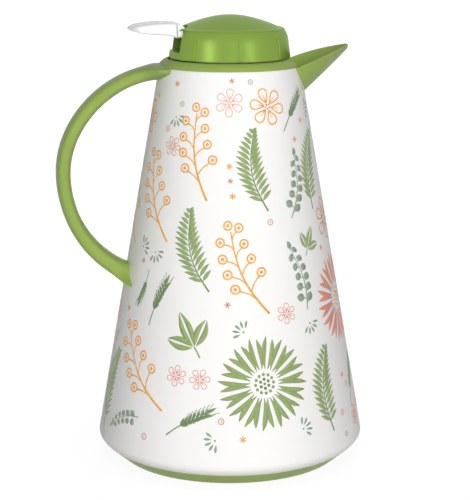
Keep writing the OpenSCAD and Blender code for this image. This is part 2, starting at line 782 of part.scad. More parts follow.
module spring_cap() {
    color(natural) difference() {
        union() {
            translate([0, 0, cap_top_z - cap_head]) cylinder(r = 5.5, h = cap_head);
            translate([0, 0, cap_top_z - cap_head - cap_sleeve]) cylinder(r = stem_r + 1, h = cap_sleeve + 1);
        }
        translate([0, 0, cap_top_z - far - 0.8]) cylinder(r = stem_r, h = far);
    }
}

module return_spring() {
    coil_r = stem_r + 1 + seat_gap + wire_r + 0.5;
    sides = 6;
    steps = 16 * spring_turns;
    low = cup_z + wire_r + run_gap;
    high = cap_top_z - cap_head - wire_r - run_gap;
    color(steel) loft([for (i = [0 : steps]) let (a = 360 * spring_turns * i / steps,
            z = low + (high - low) * i / steps)
        [for (j = [0 : sides - 1]) let (b = -360 * j / sides, r = coil_r + wire_r * cos(b))
            [r * cos(a), r * sin(a), z + wire_r * sin(b)]]]);
}

outer_shell();
base_cap();
base_cushion();
liner_outer();
liner_inner();
liner_pads();
neck_seal();
collar();
handle();
handle_screws();
stopper_gasket();
lid_body();
lid_cap();
stopper_plug();
plug_screws();
stem_seal();
lever_pin();
lever();
valve_plunger();
valve_seal();
spring_cap();
return_spring();
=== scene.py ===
"""Glass-lined vacuum jug with a lever stopper: smooth pieces and finishes over the fixed frame.

The jug stands on z = 0 about the Z axis. The spout points to +X and the handle to -X.
Shapes are drawn in millimetres and scaled to metres when a piece is finished.
"""

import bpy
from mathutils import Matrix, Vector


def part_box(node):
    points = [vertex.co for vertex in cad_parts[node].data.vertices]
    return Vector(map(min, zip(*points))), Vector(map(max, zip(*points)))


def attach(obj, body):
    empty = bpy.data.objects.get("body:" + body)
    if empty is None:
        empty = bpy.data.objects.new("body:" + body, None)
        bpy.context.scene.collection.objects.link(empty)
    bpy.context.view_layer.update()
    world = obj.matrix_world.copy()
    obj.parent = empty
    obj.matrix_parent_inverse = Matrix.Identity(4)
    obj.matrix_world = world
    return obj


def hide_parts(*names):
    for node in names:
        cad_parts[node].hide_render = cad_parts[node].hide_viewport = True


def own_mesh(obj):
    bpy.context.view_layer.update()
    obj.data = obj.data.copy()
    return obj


bl_info = {
    "name": "Vacuum Jug",
    "version": (1, 0, 0),
    "blender": (4, 5, 0),
    "location": "View3D > Sidebar > Jug",
    "description": "Builds a vacuum jug's smooth pieces, print and finishes over its frame",
    "category": "Add Mesh",
}

from collections import defaultdict
from math import cos, hypot, pi, radians, sin, sqrt, tau
from random import Random

import bmesh
import bpy
from bmesh import ops
from bpy.props import FloatProperty, FloatVectorProperty, PointerProperty
from bpy.types import Operator, Panel, PropertyGroup
from mathutils import Matrix, Vector

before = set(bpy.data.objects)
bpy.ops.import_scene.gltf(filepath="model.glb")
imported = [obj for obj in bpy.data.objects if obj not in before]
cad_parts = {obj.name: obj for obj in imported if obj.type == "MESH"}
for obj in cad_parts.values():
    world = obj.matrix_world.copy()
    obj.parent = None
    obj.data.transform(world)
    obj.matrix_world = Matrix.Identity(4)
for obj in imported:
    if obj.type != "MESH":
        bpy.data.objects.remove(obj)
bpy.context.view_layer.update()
MM = 0.001
TURNS = 192  # Steps in a full turn of a round piece
CREASE = 32.0  # Degrees between two faces from which their edge stays sharp
TINY = 1e-6
WHITE = (1, 1, 1, 1)


def srgb(code):
    """Linear RGBA of a hex colour such as #95ab58."""
    parts = [int(code[i:i + 2], 16) / 255 for i in (1, 3, 5)]
    return tuple(p / 12.92 if p <= 0.04045 else ((p + 0.055) / 1.055) ** 2.4
                 for p in parts) + (1.0,)


def length(about, millimetres):
    return FloatProperty(name=about, default=millimetres * MM, unit="LENGTH")


def tone(about, code):
    return FloatVectorProperty(name=about, default=srgb(code)[:3], subtype="COLOR", size=3,
                               min=0.0, max=1.0)


class JugSizes(PropertyGroup):
    """Sizes of the jug that a user would change together with its solids."""
    body_h: length("Height of the shell's top edge", 255.1)
    body_top_r: length("Outer radius of the shell at its top", 45.0)
    body_wide_r: length("Outer radius of the cone at its widest", 86.9)
    body_wide_z: length("Height of the widest point", 14.0)
    body_wall: length("Thickness of the shell", 2.4)
    collar_r: length("Outer radius of the collar band", 45.4)
    collar_band_h: length("Height of the band above the shell", 4.6)
    collar_deck_h: length("Height of the deck above the shell", 2.9)
    spout_reach: length("Distance from the axis to the spout's tip", 77.3)
    spout_rise: length("Height of the tip above the shell's edge", 12.6)
    spout_half: length("Half width of the spout at the collar", 24.5)
    spout_drop: length("How far the keel starts below the shell's edge", 17.5)
    spout_wall: length("Thickness of the spout", 2.2)
    handle_reach: length("Distance from the axis to the handle's bow", 107.5)
    handle_bow_z: length("Height of the handle's bow", 188.0)
    handle_foot_z: length("Height of the handle's foot on the shell", 122.8)
    handle_half: length("Half width of the handle", 10.0)
    handle_thick: length("Half thickness of the handle at its bow", 4.5)
    lid_r: length("Outer radius of the lid's lower edge", 38.6)
    lid_z: length("Height at which the lid's skirt starts to lean", 261.0)
    lid_hem: length("How far the skirt hangs below that height", 1.0)
    lid_h: length("Height of the lid body", 17.2)
    dome_h: length("Height of the dome above the lid's seam", 8.9)
    notch_half: length("Half width of the notch for the lever", 16.0)
    lever_reach: length("Distance from the axis to the lever's tip", 65.3)
    lever_half: length("Half width of the lever's paddle", 14.5)
    lever_arm_half: length("Half width of the lever's arm in the lid", 7.5)
    pivot_x: length("Distance from the axis to the lever's pivot", 22.0)
    pivot_z: length("Height of the lever's pivot", 273.0)
    spring_wire_r: length("Radius of the return spring's wire", 0.45)
    valve_travel: length("How far the lever pushes the valve down", 3.07)
    ink_lift: length("How far the print stands on the shell", 0.05)


class JugColours(PropertyGroup):
    """Colours of the jug's finishes and inks."""
    shell: tone("White of the printed shell", "#f1f0ee")
    green: tone("Green of the collar, handle and base", "#8fa653")
    lid: tone("Green of the lid", "#829f45")
    lever: tone("White of the lever", "#f4f4f2")
    natural: tone("Undyed stopper plastic", "#e3e4df")
    rubber: tone("Colour of the silicone seals", "#d6d6d0")
    leaf_ink: tone("Ink of the leaves and fronds", "#8fa367")
    deep_ink: tone("Ink of the stems", "#6f8a5c")
    slate_ink: tone("Ink of the round-leaved sprigs", "#8d9f8c")
    coral_ink: tone("Ink of the coral blossoms", "#dc8b76")
    rose_ink: tone("Ink of the pale blossoms", "#eab9a8")
    amber_ink: tone("Ink of the amber berries", "#f2a93a")


class Millimetres:
    """The driving sizes in millimetres."""

    def __getattr__(self, name):
        return getattr(bpy.context.scene.jug_sizes, name) / MM


mm = Millimetres()


def colour(name):
    """A driving colour as linear RGBA."""
    return tuple(getattr(bpy.context.scene.jug_colours, name)) + (1.0,)


# ---- Curves and outlines, in millimetres ----

def shares(n):
    """The shares 0, 1 / n, 2 / n and so on up to 1."""
    return [i / n for i in range(n + 1)]


def curve2(a, b, c, n):
    """Points of a quadratic curve."""
    return [tuple((1 - t) ** 2 * p + 2 * t * (1 - t) * q + t * t * r for p, q, r in zip(a, b, c))
            for t in shares(n)]


def cubic(points, t):
    """Point and direction of a cubic curve."""
    a, b, c, d = (Vector(p) for p in points)
    u = 1 - t
    place = u ** 3 * a + 3 * t * u * u * b + 3 * t * t * u * c + t ** 3 * d
    slope = 3 * u * u * (b - a) + 6 * t * u * (c - b) + 3 * t * t * (d - c)
    return place, slope.normalized()


def smoothed(points, n):
    """Catmull-Rom points through an open row, n steps to each stretch."""
    rows = [Vector(p) for p in points]
    rows = [2 * rows[0] - rows[1]] + rows + [2 * rows[-1] - rows[-2]]
    out = []
    for p, q, r, s in zip(rows, rows[1:], rows[2:], rows[3:]):
        for t in shares(n)[:-1]:
            out.append(0.5 * (2 * q + (r - p) * t + (2 * p - 5 * q + 4 * r - s) * t * t
                              + (3 * q - p - 3 * r + s) * t ** 3))
    return out + [rows[-2]]


def filleted(points, radius):
    """A closed outline with each corner rounded by radius, or less where an edge is short."""
    share, nearly_flat = 0.45, radians(160)
    out = []
    for i, point in enumerate(points):
        ends = (point, points[i - 1], points[(i + 1) % len(points)])
        here, back, on = (Vector(p) for p in ends)
        before, after = back - here, on - here
        if before.length < TINY or after.length < TINY:
            continue
        if before.angle(after) > nearly_flat or abs(here.x) < TINY:
            out.append(tuple(here))
            continue
        reach = min(radius, before.length * share, after.length * share)
        start, end = here + before.normalized() * reach, here + after.normalized() * reach
        out += curve2(tuple(start), tuple(here), tuple(end), 3)
    return out


def ring_of(n, radius, x=0.0, y=0.0):
    """Evenly spaced points of a circle about (x, y)."""
    return [(x + radius * cos(tau * i / n), y + radius * sin(tau * i / n)) for i in range(n)]


def eased(value, span):
    """How far a value is from 0 to a span, held between 0 and 1."""
    return min(1.0, max(0.0, value / span))


def cone_r(z):
    """Outer radius of the shell's cone at a height."""
    slope = (mm.body_wide_r - mm.body_top_r) / (mm.body_h - mm.body_wide_z)
    return mm.body_top_r + slope * (mm.body_h - z)


# ---- Making shapes ----

def spun(outline, steps=TURNS, angle=tau, closed=True):
    """Turns an outline of (radius, height) about the Z axis."""
    bm = bmesh.new()
    verts = [bm.verts.new((r, 0, z)) for r, z in outline]
    pairs = list(zip(verts, verts[1:])) + ([(verts[-1], verts[0])] if closed else [])
    edges = [bm.edges.new(pair) for pair in pairs]
    ops.spin(bm, geom=verts + edges, cent=(0, 0, 0), axis=(0, 0, 1), dvec=(0, 0, 0),
             angle=angle, steps=steps, use_merge=True, use_duplicate=False)
    return tidied(bm)


def tidied(bm):
    """Merges doubles, drops flat leftovers on the axis and points the faces outwards."""
    ops.remove_doubles(bm, verts=bm.verts, dist=0.002)
    ops.dissolve_degenerate(bm, edges=bm.edges, dist=0.0005)
    ops.recalc_face_normals(bm, faces=bm.faces)
    return bm


def swept(rings, closed=True):
    """Extrudes a ring of points along a row of rings; a closed ring also gets its two ends."""
    bm = bmesh.new()
    verts = [bm.verts.new(p) for p in rings[0]]
    pairs = list(zip(verts, verts[1:])) + ([(verts[-1], verts[0])] if closed else [])
    first = edges = [bm.edges.new(pair) for pair in pairs]
    for ring in rings[1:]:
        made = ops.extrude_edge_only(bm, edges=edges)["geom"]
        fresh = {v for v in made if isinstance(v, bmesh.types.BMVert)}
        partner = []
        for vert in verts:
            link = next(e for e in vert.link_edges if e.other_vert(vert) in fresh)
            partner.append(link.other_vert(vert))
        edges = [e for e in made if isinstance(e, bmesh.types.BMEdge)
                 and e.verts[0] in fresh and e.verts[1] in fresh]
        verts = partner
        for vert, place in zip(verts, ring):
            vert.co = place
    if not closed:
        return bm
    for rim in (first, edges):
        ops.holes_fill(bm, edges=rim, sides=0)
    ops.triangulate(bm, faces=[f for f in bm.faces if len(f.verts) > 4])
    return tidied(bm)


def block(low, high, bevel=0.0):
    """A box between two corners with its edges rounded."""
    bm = bmesh.new()
    ops.create_cube(bm, size=1.0)
    ops.scale(bm, vec=Vector(high) - Vector(low), verts=bm.verts)
    moved(bm, (Vector(low) + Vector(high)) / 2)
    if bevel:
        ops.bevel(bm, geom=bm.edges[:], offset=bevel, offset_type="OFFSET",
                  affect="EDGES", segments=3, profile=0.5, material=-1)
    return bm


def moved(bm, way):
    ops.translate(bm, vec=way, verts=bm.verts)


def turned(bm, degrees, axis="Z"):
    ops.rotate(bm, cent=(0, 0, 0), verts=bm.verts,
               matrix=Matrix.Rotation(radians(degrees), 3, axis))


def filled(bm):
    """Closes the open ends of a shape."""
    ops.holes_fill(bm, edges=[e for e in bm.edges if e.is_boundary], sides=0)


def placed(name, data):
    """Puts an object with its data into the scene."""
    thing = bpy.data.objects.new(name, data)
    bpy.context.scene.collection.objects.link(thing)
    return thing


def mesh_of(bm, name):
    """The mesh of a shape, which is used up."""
    mesh = bpy.data.meshes.new(name)
    bm.to_mesh(mesh)
    bm.free()
    return mesh


def added(bm, other):
    """Puts a second closed shape into the same piece."""
    mesh = mesh_of(other, "part")
    bm.from_mesh(mesh)
    bpy.data.meshes.remove(mesh)


def combined(bm, tool, how):
    """Joins, cuts or meets two closed shapes exactly; both are used up."""
    things = [placed("work", mesh_of(shape, "work")) for shape in (bm, tool)]
    cut = things[0].modifiers.new("Combine", "BOOLEAN")
    cut.operation, cut.solver, cut.object = how, "EXACT", things[1]
    result = bmesh.new()
    result.from_object(things[0], bpy.context.evaluated_depsgraph_get())
    for thing in things:
        mesh = thing.data
        bpy.data.objects.remove(thing)
        bpy.data.meshes.remove(mesh)
    ops.remove_doubles(result, verts=result.verts, dist=0.0005)
    return result


def finished(bm, name, material, body, stands_for=(), crease=CREASE):
    """Makes a piece of the jug from a shape drawn in millimetres."""
    ops.scale(bm, vec=(MM, MM, MM), verts=bm.verts)
    mesh = mesh_of(bm, name)
    mesh.shade_smooth()
    mesh.set_sharp_from_angle(angle=radians(crease))
    mesh.materials.append(material)
    piece = placed(name, mesh)
    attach(piece, body)
    if stands_for:
        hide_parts(*stands_for)
    return piece


# ---- Materials, in metres ----

def add_node(tree, kind, inputs=None, **settings):
    """Adds a shader node; inputs maps a socket to a value or to another node's output."""
    node = tree.nodes.new("ShaderNode" + kind)
    for key, value in settings.items():
        setattr(node, key, value)
    for key, value in (inputs or {}).items():
        if isinstance(value, bpy.types.NodeSocket):
            tree.links.new(value, node.inputs[key])
        else:
            node.inputs[key].default_value = value
    return node


def blank(name):
    """An empty material, its tree and the piece's own coordinates."""
    material = bpy.data.materials.new(name)
    material.use_nodes = True
    tree = material.node_tree
    tree.nodes.clear()
    return material, tree, add_node(tree, "TexCoord").outputs["Object"]


def noise(tree, place, grain, detail, roughness=0.5):
    """Noise with grains of about that width."""
    return add_node(tree, "TexNoise", {"Vector": place, "Scale": 1 / grain, "Detail": detail,
                                       "Roughness": roughness}).outputs["Fac"]


def ramp(tree, value, low, high, start=0.0, end=1.0):
    """A colour that goes from low to high as a value goes from start to end."""
    node = add_node(tree, "ValToRGB", {"Fac": value})
    for stop, position, shown in zip(node.color_ramp.elements, (start, end), (low, high)):
        stop.position, stop.color = position, shown
    return node.outputs["Color"]


def mapped(tree, value, start, end, low, high):
    """A number that goes from low to high as a value goes from start to end."""
    return add_node(tree, "MapRange", {"Value": value, "From Min": start, "From Max": end,
                                       "To Min": low, "To Max": high}).outputs[0]


def maths(tree, operation, *values):
    return add_node(tree, "Math", dict(enumerate(values)), operation=operation).outputs[0]


def relief(tree, height, strength, depth):
    """A normal that follows a fine relief."""
    return add_node(tree, "Bump", {"Height": height, "Strength": strength,
                                   "Distance": depth}).outputs["Normal"]


def surfaced(tree, inputs):
    """Ends a material with one surface."""
    surface = add_node(tree, "BsdfPrincipled", inputs)
    add_node(tree, "OutputMaterial", {"Surface": surface.outputs[0]})


def shade(shown, factor):
    """A colour made lighter or darker by a factor."""
    return tuple(min(1.0, c * factor) for c in shown[:3]) + (1.0,)


def moulded_plastic(name, shown, gloss, cloud, peel, seam=False, depth=0.0, shine=0.5, mica=0.0):
    """Injection-moulded plastic: even colour with faint clouds and orange peel.

    gloss is its roughness, cloud how far its colour wanders, and peel the orange peel's width in
    millimetres and its strength. A seam is the ridge between the mould's halves, in the plane of
    handle and spout. Light enters by depth, and mica tints the highlights.
    """
    material, tree, place = blank(name)
    clouds = noise(tree, place, 0.045, 2.0)
    wear = noise(tree, place, 0.009, 5.0, 0.62)
    height = noise(tree, place, peel[0] * MM, 3.0)
    if seam:
        across = add_node(tree, "SeparateXYZ", {"Vector": place}).outputs["Y"]
        ridge = mapped(tree, maths(tree, "ABSOLUTE", across), 0.0001, 0.0005, 3.0, 0.0)
        height = maths(tree, "ADD", height, ridge)
    sheen = [0.5 + 0.5 * c for c in shade(shown, 1.8)] if mica else WHITE
    surfaced(tree, {
        "Base Color": ramp(tree, clouds, shade(shown, 1 - cloud), shade(shown, 1 + cloud),
                           0.3, 0.7),
        "Roughness": mapped(tree, wear, 0.3, 0.7, gloss - 0.035, gloss + 0.05),
        "Normal": relief(tree, height, peel[1], 0.0002), "IOR": 1.49,
        "Specular IOR Level": shine, "Metallic": mica, "Specular Tint": sheen,
        "Subsurface Weight": depth, "Subsurface Radius": (0.002, 0.002, 0.0015),
        "Subsurface Scale": 1.0})
    return material


def grained(name, grains, tones, stretch=(0.0, 1.0), rough=None, bumps=None, **inputs):
    """A finish that follows one noise, given by its grains' width, detail and roughness.

    The tones cover a stretch of the noise. rough is the stretch for the roughness and its least
    and most, and bumps are the relief's strength and depth.
    """
    material, tree, place = blank(name)
    grain = noise(tree, place, *grains)
    inputs = {key.replace("_", " "): value for key, value in inputs.items()}
    inputs["Base Color"] = ramp(tree, grain, *tones, *stretch)
    if rough:
        inputs["Roughness"] = mapped(tree, grain, *rough)
    if bumps:
        inputs["Normal"] = relief(tree, grain, *bumps)
    surfaced(tree, inputs)
    return material


def printed_ink(name, shown):
    """Screen-printed ink: a thin coat with slightly starved, uneven coverage."""
    return grained(name, (0.0035, 4.0, 0.6), (shade(shown, 0.88), shade(shown, 1.12)),
                   (0.28, 0.72), rough=(0.3, 0.7, 0.36, 0.46), IOR=1.48)


def silvered_glass(name):
    """Blown glass silvered on its vacuum side: a mirror with a soft ripple."""
    return grained(name, (0.018, 2.0), (srgb("#c3c9cb"), srgb("#dfe2e2")), bumps=(0.2, 0.0006),
                   Metallic=1.0, Roughness=0.09, Coat_Weight=1.0, Coat_Roughness=0.03)


def silicone(name):
    """Compression-moulded silicone: matt, slightly see-through and dusty."""
    shown = colour("rubber")
    return grained(name, (0.003, 4.0), (shade(shown, 0.93), shade(shown, 1.05)),
                   bumps=(0.15, 0.0002), Roughness=0.58, IOR=1.41, Subsurface_Weight=0.3,
                   Subsurface_Radius=(0.003, 0.003, 0.003), Subsurface_Scale=1.0)


def drawn_steel(name):
    """Cold-drawn stainless wire and turned screws: finely uneven."""
    return grained(name, (0.0012, 6.0), (srgb("#8f9193"), srgb("#b9bbbc")),
                   rough=(0.0, 1.0, 0.2, 0.42), Metallic=1.0)


PLASTICS = {
    # White under a satin lacquer that seals the print: soft, dark towards the edges
    "shell": ("PP, white, injection moulded and lacquered",
              {"gloss": 0.42, "cloud": 0.006, "peel": (4.0, 0.05), "shine": 0.15}),
    # Even green with a broad soft highlight
    "green": ("PP, satin green, injection moulded",
              {"gloss": 0.42, "cloud": 0.03, "peel": (1.4, 0.16), "seam": True, "shine": 0.2}),
    # Brighter resin with fine mica in it, so that its highlights are green as well
    "lid": ("PP, leaf green with mica, injection moulded",
            {"gloss": 0.33, "cloud": 0.03, "peel": (1.4, 0.1), "shine": 0.2, "mica": 0.5}),
    # From a polished tool
    "lever": ("ABS, gloss white, injection moulded",
              {"gloss": 0.26, "cloud": 0.01, "peel": (1.6, 0.06)}),
    # Milky: light carries into it a little
    "natural": ("PP, undyed, injection moulded",
                {"gloss": 0.45, "cloud": 0.02, "peel": (1.4, 0.12), "depth": 0.25}),
}
OTHER_FINISHES = {
    "rubber": ("Silicone, compression moulded", silicone),
    "glass": ("Blown glass, silvered", silvered_glass),
    "steel": ("Stainless steel, cold drawn", drawn_steel),
}


def material_for(key):
    """Finds a finish, or makes it the first time."""
    name, how = PLASTICS.get(key) or OTHER_FINISHES[key]
    known = bpy.data.materials.get(name)
    if known:
        return known
    return moulded_plastic(name, colour(key), **how) if key in PLASTICS else how(name)


# ---- Shell, base and collar ----

SEAM_Z = 8.3  # The shell stands on the base cap at this height
THROAT_R = 30  # Inner radius of the throat that takes the stopper
DECK_R = 39.6  # Radius of the deck inside the collar's rim
CUT_LOW, CUT_HIGH = 200, 300  # Cutting tools reach from below the collar to above the lid
SIDE_STEPS = 12  # Points on one side of the spout's root


def root_prism(inset, top):
    """The spout's root across the wall at +X: a parabola up to the band, upright above it."""
    half = mm.spout_half - inset
    low = mm.body_h - mm.spout_drop + inset * 1.3
    rim = mm.body_h - 0.5
    side = [(half * i / SIDE_STEPS, low + (rim - low) * (i / SIDE_STEPS) ** 2)
            for i in range(SIDE_STEPS + 1)]
    outline = side + [(half, top), (-half, top)] + [(-y, z) for y, z in side[:0:-1]]
    near, far = 27.0, 57.0
    bm = bmesh.new()
    face = bm.faces.new([bm.verts.new((near, y, z)) for y, z in outline])
    made = ops.extrude_face_region(bm, geom=[face])["geom"]
    ops.translate(bm, vec=(far - near, 0, 0),
                  verts=[v for v in made if isinstance(v, bmesh.types.BMVert)])
    return tidied(bm)


def body_space(grow, top):
    """All that lies inside the shell's outer face, larger by grow, up to a height."""
    low, height = mm.body_h - 30, mm.body_h
    top_r, collar_r = mm.body_top_r + grow, mm.collar_r + grow
    return spun([(0, low), (cone_r(low) + grow, low), (top_r, height), (collar_r, height),
                 (collar_r, top), (0, top)], closed=False)


def core(radius):
    """A cylinder along the axis, for cutting the neck."""
    return spun([(0, CUT_LOW), (radius, CUT_LOW), (radius, CUT_HIGH), (0, CUT_HIGH)],
                closed=False)


def shell_shape():
    top, wall = mm.body_h, mm.body_wall
    top_r, wide_z = mm.body_top_r, mm.body_wide_z
    ledge_z, foot_r = 16, 78.7
    inner = cone_r(ledge_z) - wall
    belly = (cone_r(wide_z + 3), wide_z + 3)
    outline = [(80.9, SEAM_Z)]
    outline += curve2((81.5, SEAM_Z + 0.2), (mm.body_wide_r + 0.7, wide_z - 1.4), belly, 18)
    outline += [(cone_r(z), z) for z in range(30, 250, 20)]
    outline += [(top_r + 0.05, top - 0.3), (top_r - 0.25, top), (top_r - wall, top),
                (inner, ledge_z), (inner, 11), (foot_r, SEAM_Z + 2), (foot_r, SEAM_Z)]
    return combined(spun(outline), root_prism(-0.3, top + 5), "DIFFERENCE")


def base_cap_shape():
    # Outside, upstand in the shell, floor, cup for the liner's cushion, then the recess below
    cup_r, cup_wall, recess_z = 28.4, 2, 2.5
    outline = [(71.6, 0), (81.5, SEAM_Z), (78.4, SEAM_Z), (78.4, 20.3), (76, 20.3), (76, 4.9),
               (cup_r, 4.9), (cup_r, 20), (cup_r - cup_wall, 20), (cup_r - cup_wall, 14.5),
               (0, 14.5), (0, 12.1), (26, 12.1), (26, recess_z), (65.6, recess_z), (67.6, 0)]
    bm = spun(filleted(outline, 0.7))
    # Four bayonet lugs
    for i in range(4):
        lug = spun([(78.3, 15.3), (81.8, 15.3), (81.8, 18.1), (78.3, 18.1)], 8, radians(20))
        filled(lug)
        ops.recalc_face_normals(lug, faces=lug.faces)
        turned(lug, 35 + 90 * i)
        added(bm, lug)
    return bm


def beak_rings():
    """Sections of the spout from inside the collar to its tip, each with a rounded rim."""
    beak_steps, nose_steps, nose = 40, 8, 1.5
    tip_half, edge = 1.6, 0.14
    reach, height = mm.spout_reach, mm.body_h
    half_root, wall = mm.spout_half, mm.spout_wall
    start = sqrt(mm.collar_r ** 2 - half_root ** 2)
    keel_x = cone_r(height - mm.spout_drop)
    rim_low, rim_high = height - 0.5, height + mm.spout_rise
    keel_low, keel_high = height - mm.spout_drop, height + mm.spout_rise - 3.0
    across = [j / 18 for j in range(-18, 19)]
    rings = []
    for i in range(beak_steps + nose_steps + 1):
        along = min(i, beak_steps) / beak_steps
        bend = pi / 2 * max(0, i - beak_steps) / nose_steps
        x = start - 3 + (reach - nose - start + 3) * along + nose * sin(bend)
        u = (x - start) / (reach - start)
        rim = rim_low + (rim_high - rim_low) * u + 2.4 * u * (1 - u)
        keel = keel_low + (keel_high - keel_low) * (x - keel_x) / (reach - keel_x)
        half = half_root + (tip_half - half_root) * max(0.0, u) ** 2.3
        in_half = max(half - wall * 1.1, 0.4)
        in_low = min(keel + wall * 1.3, rim - 0.5)
        ease = min(0.7, (rim - keel) * 0.2)
        outer = [(half * s, keel + (rim - ease - keel) * s * s) for s in across]
        inner = [(in_half * s, in_low + (rim - ease * 0.6 - in_low) * s * s) for s in across]
        lip = [(half - (half - in_half) * edge, rim - ease * 0.3), ((half + in_half) / 2, rim),
               (in_half + (half - in_half) * edge, rim - ease * 0.2)]
        ring = outer + lip + inner[::-1] + [(-y, z) for y, z in lip[::-1]]
        blunt = max(0.04, cos(bend))
        middle = (rim + keel) / 2
        rings.append([(x, y * blunt, middle + (z - middle) * blunt) for y, z in ring])
    return rings


def collar_side():
    """The collar's outer face from the shell's edge over its sloping shoulder."""
    shoulder, fullness, steps = 5.2, 1.3, 14
    height, band, r = mm.body_h, mm.collar_band_h, mm.collar_r
    arc = [(cos(pi / 2 * i / steps), sin(pi / 2 * i / steps)) for i in range(steps + 1)]
    return [(r - shoulder + shoulder * max(0.0, c) ** fullness,
             height + band * max(0.0, s) ** fullness) for c, s in arc]


def collar_shape():
    height, top_r = mm.body_h, mm.body_top_r
    top = height + mm.collar_band_h
    deck = height + mm.collar_deck_h
    shelf, shelf_r = deck - 18, 23
    sleeve_r, under_deck, low = THROAT_R + 3, deck - 3, height - 30
    skirt = top_r - mm.body_wall - 0.3
    bm = spun(collar_side() + [
        (40.0, top), (DECK_R, top - 0.4), (DECK_R, deck), (THROAT_R + 0.5, deck),
        (THROAT_R, deck - 0.5), (THROAT_R, shelf), (shelf_r, shelf), (shelf_r, shelf - 3.2),
        (THROAT_R, shelf - 3.2), (THROAT_R, shelf - 11), (sleeve_r, shelf - 11),
        (sleeve_r, under_deck), (skirt - 2.2, under_deck), (skirt - 2.2, height - 5),
        (skirt, height - 5), (skirt, height)])
    beak = combined(swept(beak_rings()), body_space(0, height), "DIFFERENCE")
    beak = combined(beak, core(DECK_R), "DIFFERENCE")
    room = spun([(0, low), (cone_r(low) + 0.5, low), (top_r + 0.5, height - 0.4)]
                + collar_side() + [(0, top)], closed=False)
    plug = combined(root_prism(0.1, deck - 0.01), room, "INTERSECT")
    plug = combined(plug, core(THROAT_R), "DIFFERENCE")
    for piece in (beak, plug):
        bm = combined(bm, piece, "UNION")
    channel = combined(root_prism(2.5, top + 5), body_space(0.8, top + 5), "INTERSECT")
    return combined(bm, channel, "DIFFERENCE")


# ---- Handle ----

# Half sections at the bow, at the collar and at the foot, in shares of half width and thickness
PLAIN = [(0, 1), (0.42, 0.97), (0.8, 0.8), (0.98, 0.4), (1, -0.22), (0.84, -0.72), (0.46, -1)]
ROOT = [(0, 1.04), (0.42, 0.99), (0.84, 0.84), (1, 0.55), (0.9, 0), (0.58, -0.56), (0.22, -1)]
FOOT = [(0, 1.04), (0.5, 1.02), (1, 0.94), (0.84, 0.6), (0.6, 0.1), (0.46, -0.5), (0.3, -1)]
ROOT_HALF, FOOT_HALF = 21.0, 20.0


def handle_ring(place, along, end, end_half, thick, blend):
    """One section, blended from the plain one to a wide one at an end."""
    out = Vector((along.y, -along.x))
    half = mm.handle_half
    side = [(half * p[0] * (1 - blend) + end_half * q[0] * blend,
             thick * (p[1] * (1 - blend) + q[1] * blend)) for p, q in zip(PLAIN, end)]
    row = smoothed([(-y, n) for y, n in side[:0:-1]] + side, 3)
    return [(place.x + out.x * n, y, place.y + out.y * n) for y, n in row]


def handle_shape():
    steps, swell, space_low = 60, 1.2, 90
    height, bow, foot = mm.body_h, mm.handle_bow_z, mm.handle_foot_z
    reach, thick, top_r = mm.handle_reach, mm.handle_thick, mm.body_top_r
    z = height - 3.1
    upper = [(-top_r + 4, z - 0.4), (-74, z + 1.4), (-reach, bow + 34.6), (-reach, bow)]
    lower = [(-reach, bow), (-reach, bow - 25), (-95, foot + 12.2), (-cone_r(foot) + 3, foot - 1)]
    rings = []
    for t in shares(steps):
        rings.append(handle_ring(*cubic(upper, t), ROOT, ROOT_HALF, thick,
                                 eased(0.2 - t, 0.13) ** 2))
    for t in shares(steps)[1:]:
        rings.append(handle_ring(*cubic(lower, t), FOOT, FOOT_HALF, thick + swell * t * t,
                                 eased(t - 0.82, 0.14) ** 2))
    side = collar_side()
    space = spun([(0, space_low), (cone_r(space_low), space_low), (top_r, height)] + side
                 + [(side[-1][0], height + 20), (0, height + 20)], closed=False)
    return combined(swept(rings), space, "DIFFERENCE")


# ---- Lid ----

RIBS = 8
RIB_AT_NOTCH = 4
FAR = -80  # Beyond the lid's edge on the handle's side
CUP_R, CUP_WALL_R, CUP_HOLE_R = 5.15, 8, 2.5  # The cup of the return spring, and the stem's hole


def lid_side(inset):
    """The skirt's outline from its lower edge to the seam."""
    low, high, r = mm.lid_z, mm.lid_h, mm.lid_r - inset
    return [(r, low)] + curve2((r - 1.3, low + high * 0.6), (r - 1.9, low + high * 0.85),
                               (r - 4.1, low + high), 10)


def lid_rib(index, edge, deck):
    """A grip rib that leans with the skirt; the one in the notch ends at its deck."""
    low, tall, r = mm.lid_z, mm.lid_h, mm.lid_r
    lean = 1.3 / (tall * 0.6)
    foot = edge + 0.5
    rib = block((-0.4, -0.95, 0), (1.6, 0.95, low - edge + tall * 0.7), 0.3)
    for vert in rib.verts:
        vert.co.x -= max(0.0, vert.co.z + foot - low) * lean
    moved(rib, (r - 1.1, 0, foot))
    turned(rib, 360 / RIBS * index)
    if index == RIB_AT_NOTCH:
        ops.bisect_plane(rib, geom=rib.verts[:] + rib.edges[:] + rib.faces[:],
                         plane_co=(0, 0, deck), plane_no=(0, 0, 1), clear_outer=True)
        filled(rib)
    return rib


